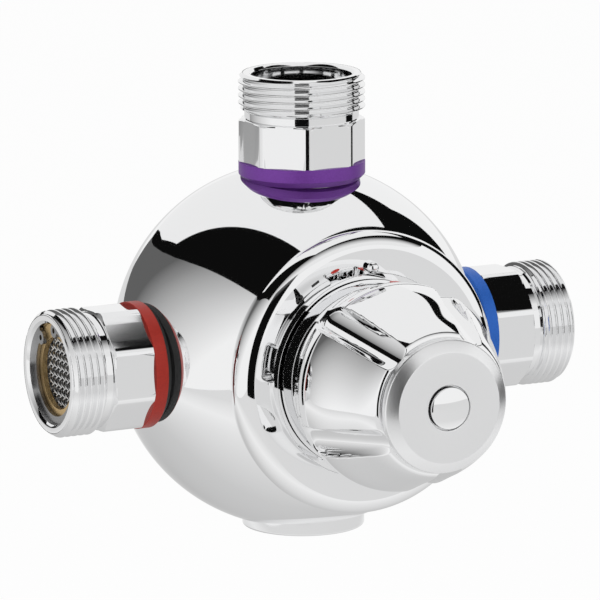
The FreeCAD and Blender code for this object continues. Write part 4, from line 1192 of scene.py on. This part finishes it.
dot_frame = FRONT @ Matrix.Rotation(DOT_AT, 4, "Z") @ dot_spot @ Matrix.Rotation(math.radians(90.0), 4, "Y")
knob_dot = turned("knob_dot", [(0, -0.4), (DOT_R, -0.4), (DOT_R, 0.1), (0, 0.14)], dot_frame, red_paint, 40)
dress(knob_dot, "knob", "knob_chrome")
print("cap face at", round(CAP_FACE, 2), "cover top at", round(COVER_TOP, 2))

# %% [markdown]
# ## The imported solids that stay
# The circlips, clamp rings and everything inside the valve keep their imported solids. Each takes a
# finish by the material it is made of.

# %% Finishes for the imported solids
KEPT = {
    spring_steel: ["hot_circlip", "cold_circlip", "hot_check_spring", "cold_check_spring", "element_piston",
                   "return_spring", "overload_spring", "spindle_clip", "knob_screw"],
    brass: ["hot_clamp_ring", "cold_clamp_ring", "cartridge_sleeve", "cartridge_end", "control_spool",
            "wax_element", "overload_plunger", "regulating_nut", "spindle"],
    rubber: ["hot_seal", "cold_seal", "mixed_seal", "plug_seal", "cartridge_seals", "spool_seal",
             "spindle_seal"],
    dark_plastic: ["limit_stop", "hot_check_housing", "cold_check_housing", "hot_check_poppet",
                   "cold_check_poppet"],
    body_chrome: ["valve_body"],
    front_chrome: ["bonnet", "index_stud"],
    union_chrome: ["hot_union", "cold_union", "mixed_union", "bottom_plug"],
    knob_chrome: ["knob", "screw_cover"],
    satin_chrome: ["knob_cap"],
    mesh_steel: ["hot_filter", "cold_filter"],
    hot_red: ["hot_ring"],
    cold_blue: ["cold_ring"],
    mixed_purple: ["mixed_ring"],
}
for material, names in KEPT.items():
    for name in names:
        nodes[name].data.materials.clear()
        nodes[name].data.materials.append(material)
finished = sum(len(names) for names in KEPT.values())
print("packed solids with a finish", finished, "of", len(nodes))

# %% [markdown]
# ## The studio
# Chrome shows its surroundings, so the studio matters as much as the metal. Round the valve the world
# is white. A white panel hangs overhead under a black ceiling, a grey screen that darkens towards the
# back stands on the left, and black cards stand beside the camera and on the right. Their edges are the
# crisp black and white shapes in the ball. The cards are seen only in reflections, so they neither
# light the valve nor shade it.

# %% Glowing finishes
ROOM = 1.2


def glow(name, stops, start, slope):
    """A screen that glows in greys. Its ramp is read at start + slope times the spot in ceiling heights."""
    finish = Finish(name)
    from_crossing = finish.node("ShaderNodeVectorMath", {"operation": "SUBTRACT"},
                                {0: finish.place(), 1: (0.0, 0.0, CROSS_Z * MM)}, "Vector")
    along = finish.node("ShaderNodeVectorMath", {"operation": "DOT_PRODUCT"},
                        {0: from_crossing, 1: tuple(part / ROOM for part in slope)}, "Value")
    colours = [(spot, grey(level)) for spot, level in stops]
    shade = finish.node("ShaderNodeValToRGB", {"stops": colours}, {0: along + start})
    shine = finish.node("ShaderNodeEmission", {}, {"Color": shade})
    finish.node("ShaderNodeOutputMaterial", {}, {"Surface": shine})
    return finish.material


def plain_glow(name, level):
    """A card of one grey."""
    finish = Finish(name)
    shine = finish.node("ShaderNodeEmission", {}, {"Color": grey(level)})
    finish.node("ShaderNodeOutputMaterial", {}, {"Surface": shine})
    return finish.material


black = plain_glow("black_card", 0.004)
white = plain_glow("white_card", 0.88)
print("card greys", 2)

# %% [markdown]
# ## Cards
# A card is a single flat face. It is hidden from the camera, from soft light and from shadows, and so
# it exists only for the mirror.

# %% Cards that only reflections see


def card(name, corners, material):
    """A flat card that only reflections see. Its corners are in ceiling heights from the crossing."""
    mesh = bpy.data.meshes.new(name)
    spots = [(x * ROOM, y * ROOM, z * ROOM + CROSS_Z * MM) for x, y, z in corners]
    mesh.from_pydata(spots, [], [tuple(range(len(spots)))])
    piece = bpy.data.objects.new(name, mesh)
    bpy.context.scene.collection.objects.link(piece)
    mesh.materials.append(material)
    piece.visible_camera = False
    piece.visible_diffuse = False
    piece.visible_shadow = False
    return piece


print("cards are drawn in ceiling heights of", ROOM, "m")

# %% [markdown]
# ## Ceiling, panel and screen
# A card's outline is drawn as seen from the valve, in ceiling heights, so the whole studio could grow
# or shrink without a change in the mirror. The ceiling is black with a white panel just under it, and
# towards the camera it fades to white, which gives the bonnet's top its soft shade. The screen on the
# left bends round behind the valve, and fades along its length and its height. A black card closes the
# right side.

# %% Ceiling, panel and screen
CEILING = 1.0
PANEL_HEIGHT = 0.98
screen_top = [(-1.00, -1.4), (-1.02, -0.75), (-1.05, 0.0), (-1.09, 0.8), (-1.08, 1.4), (-0.97, 2.4),
              (-0.60, 4.6), (0.0, 7.6), (1.2, 13.0)]
ceiling_front = [(1.40, -0.25), (-0.10, -0.42), (-1.02, -0.75)]
ceiling = screen_top[2:] + [(1.6, 13.0), (0.0, 4.0), (-0.4, 0.80), (1.40, 0.80)] + ceiling_front
card("black_ceiling", [(x, y, CEILING) for x, y in ceiling], black)
FADE_FROM = 0.30
FADE_LONG = 0.65
fade_stops = [(0.0, 0.004), (0.25, 0.20), (0.55, 0.55), (1.0, 0.85)]
fade = glow("ceiling_fade", fade_stops, -FADE_FROM / FADE_LONG, (0.10 / FADE_LONG, -1 / FADE_LONG, 0.0))
faded = ceiling_front + [(-1.02, -1.4), (1.40, -1.4)]
card("ceiling_fade", [(x, y, CEILING) for x, y in faded], fade)
panel = [(-0.10, -0.35), (0.97, 0.11), (0.80, 0.53), (0.68, 0.80), (3.5, 13.0), (1.7, 13.0), (0.0, 5.3),
         (-0.58, 3.1), (-0.69, 2.3), (-0.79, 1.53)]
card("overhead_panel", [(x, y, PANEL_HEIGHT) for x, y in panel], white)
FLOOR_Z = -0.35
floor_level = (FLOOR_Z - CROSS_Z * MM) / ROOM
SCREEN_AT = -1.07
shades = [(0.0, 0.12), (0.373, 0.12), (0.53, 0.26), (0.706, 0.49), (0.824, 0.69), (0.95, 0.93)]
screen = glow("left_screen", shades, 0.92, (0.0, 0.235 / SCREEN_AT, 0.294 / SCREEN_AT))
for index, (near, far) in enumerate(zip(screen_top, screen_top[1:])):
    part_corners = [(*near, floor_level), (*far, floor_level), (*far, CEILING), (*near, CEILING)]
    card("left_screen_" + str(index), part_corners, screen)
RIGHT_AT = 1.39
right_side = [(0.0, CEILING), (0.0, 0.0), (-0.40, 0.0), (-0.40, floor_level), (0.18, floor_level),
              (0.18, 0.0), (0.80, 0.0), (0.80, CEILING)]
card("card_on_right", [(RIGHT_AT, y, z) for y, z in right_side], black)
print("ceiling corners", len(ceiling))

# %% [markdown]
# ## The card by the camera
# A black card stands beside the camera. It is the dark stripe down the unions and round the bonnet. Its
# top fades to white, as the top of a real card does when the panel above it lights it.

# %% Card by the camera
CARD_AWAY = 1.25
CARD_DARK = 0.72
CARD_TOP = 1.75
CARD_SIDES = (math.radians(-40.0), math.radians(-12.0))
card_fades = CARD_TOP - CARD_DARK
left_end, right_end = [(math.sin(side) * CARD_AWAY, -math.cos(side) * CARD_AWAY) for side in CARD_SIDES]
card_stops = [(0.0, 0.004), (0.3, 0.18), (0.6, 0.50), (1.0, 0.88)]
fading = glow("fading_card", card_stops, -CARD_DARK / card_fades, (0.0, 0.0, 1 / card_fades))
card("card_by_camera", [(*left_end, floor_level), (*right_end, floor_level), (*right_end, CARD_TOP),
                        (*left_end, CARD_TOP)], fading)
print("card wide", round(math.dist(left_end, right_end) * ROOM, 2), "m")

# %% [markdown]
# ## Floor and world
# The floor is a plain white sheet well below the valve. The camera sees it and the world behind it as
# pure white, and the chrome sees both a little greyer, with a soft shade on the floor behind the valve.

# %% Floor and world
SHADE_AT = (0.0, 0.55, 0.0)
SHADE_WIDE = 1.25
OWN_WHITE = 0.85


def floor_finish():
    """A white sheet: part plain paint, and part its own white for the camera and for reflections."""
    finish = Finish("floor")
    paint = finish.node("ShaderNodeBsdfDiffuse", {}, {"Color": grey(0.92)})
    camera_ray = finish.node("ShaderNodeLightPath", {}, {}, "Is Camera Ray")
    glossy = finish.node("ShaderNodeLightPath", {}, {}, "Is Glossy Ray")
    through = finish.node("ShaderNodeLightPath", {}, {}, "Is Transmission Ray")
    ends = {0: finish.place(), 1: SHADE_AT}
    away = finish.node("ShaderNodeVectorMath", {"operation": "DISTANCE"}, ends, "Value")
    stops = [(0.0, grey(0.44)), (0.35, grey(0.55)), (0.75, grey(0.88)), (1.0, grey(0.70))]
    shade = finish.node("ShaderNodeValToRGB", {"stops": stops}, {0: away * (1 / SHADE_WIDE)})
    shine = finish.node("ShaderNodeEmission", {}, {"Color": finish.blend(camera_ray, shade, grey(1.0))})
    own_share = (camera_ray + glossy + through) * OWN_WHITE
    mixed = finish.node("ShaderNodeMixShader", {}, {0: own_share, 1: paint, 2: shine})
    finish.node("ShaderNodeOutputMaterial", {}, {"Surface": mixed})
    return finish.material


bpy.ops.mesh.primitive_plane_add(size=40.0, location=(0, 0, FLOOR_Z))
floor = bpy.context.object
floor.name = "floor"
floor.data.materials.append(floor_finish())
world = bpy.data.worlds.new("studio")
bpy.context.scene.world = world
sky = Finish("studio", world)
seen_directly = sky.node("ShaderNodeLightPath", {}, {}, "Is Camera Ray")
sky_white = sky.node("ShaderNodeBackground", {}, {"Color": sky.blend(seen_directly, grey(0.92), grey(1.0))})
sky.node("ShaderNodeOutputWorld", {}, {"Surface": sky_white})
print("floor at", FLOOR_Z)

# %% [markdown]
# ## The lamp
# The white world already gives an even light. One soft lamp from the upper left shapes the coloured
# rings. It is kept out of the reflections, so the chrome mirrors only the cards and the panel.

# %% Lamp
lamp_data = bpy.data.lights.new("soft_lamp", "AREA")
lamp_data.size = 1.0
lamp_data.energy = 9.0
lamp = bpy.data.objects.new("soft_lamp", lamp_data)
lamp.location = (-0.9, -1.0, 1.5)
lamp.rotation_euler = (Vector((0, 0, CROSS_Z * MM)) - lamp.location).to_track_quat("-Z", "Y").to_euler()
lamp.visible_glossy = False
bpy.context.scene.collection.objects.link(lamp)
print("lamp", round(lamp.location.length, 2), "m away")

# %% [markdown]
# ## The camera
# The camera is a long lens at the photograph's angle. Its azimuth and height say from where it looks at
# the crossing of the ports. The crossing isn't in the middle of the picture, so the camera is aimed a
# little beside it, by as many pixels as it is off the middle.

# %% Camera
AZIMUTH = math.radians(-26.44)
ELEVATION = math.radians(12.18)
ROLL = math.radians(-0.23)
DISTANCE = 1.916
PIXELS_PER_METRE = 3007.0
PHOTO_SIDE = 600.0
CROSSING_PIXEL = (302.56, 346.58)
SENSOR = 36.0

to_camera = Vector((math.sin(AZIMUTH) * math.cos(ELEVATION), -math.cos(AZIMUTH) * math.cos(ELEVATION),
                    math.sin(ELEVATION)))
level_right = Vector((math.cos(AZIMUTH), math.sin(AZIMUTH), 0))
level_up = to_camera.cross(level_right)
right = level_right * math.cos(ROLL) + level_up * math.sin(ROLL)
above = level_up * math.cos(ROLL) - level_right * math.sin(ROLL)
crossing = Vector((0, 0, CROSS_Z * MM))
spot = crossing + to_camera * DISTANCE
off_right, off_down = [(pixel - PHOTO_SIDE / 2) / PIXELS_PER_METRE for pixel in CROSSING_PIXEL]
aim = crossing - right * off_right + above * off_down
behind = (spot - aim).normalized()
across = above.cross(behind).normalized()
upward = behind.cross(across)
camera_data = bpy.data.cameras.new("camera")
camera_data.sensor_width = SENSOR
camera_data.lens = PIXELS_PER_METRE * DISTANCE / PHOTO_SIDE * SENSOR
camera_data.clip_end = 100.0
camera = bpy.data.objects.new("camera", camera_data)
camera.matrix_world = Matrix((across, upward, behind)).transposed().to_4x4()
camera.location = spot
bpy.context.scene.collection.objects.link(camera)
bpy.context.scene.camera = camera
bpy.context.scene.view_settings.view_transform = "Standard"
print("lens", round(camera_data.lens, 1))
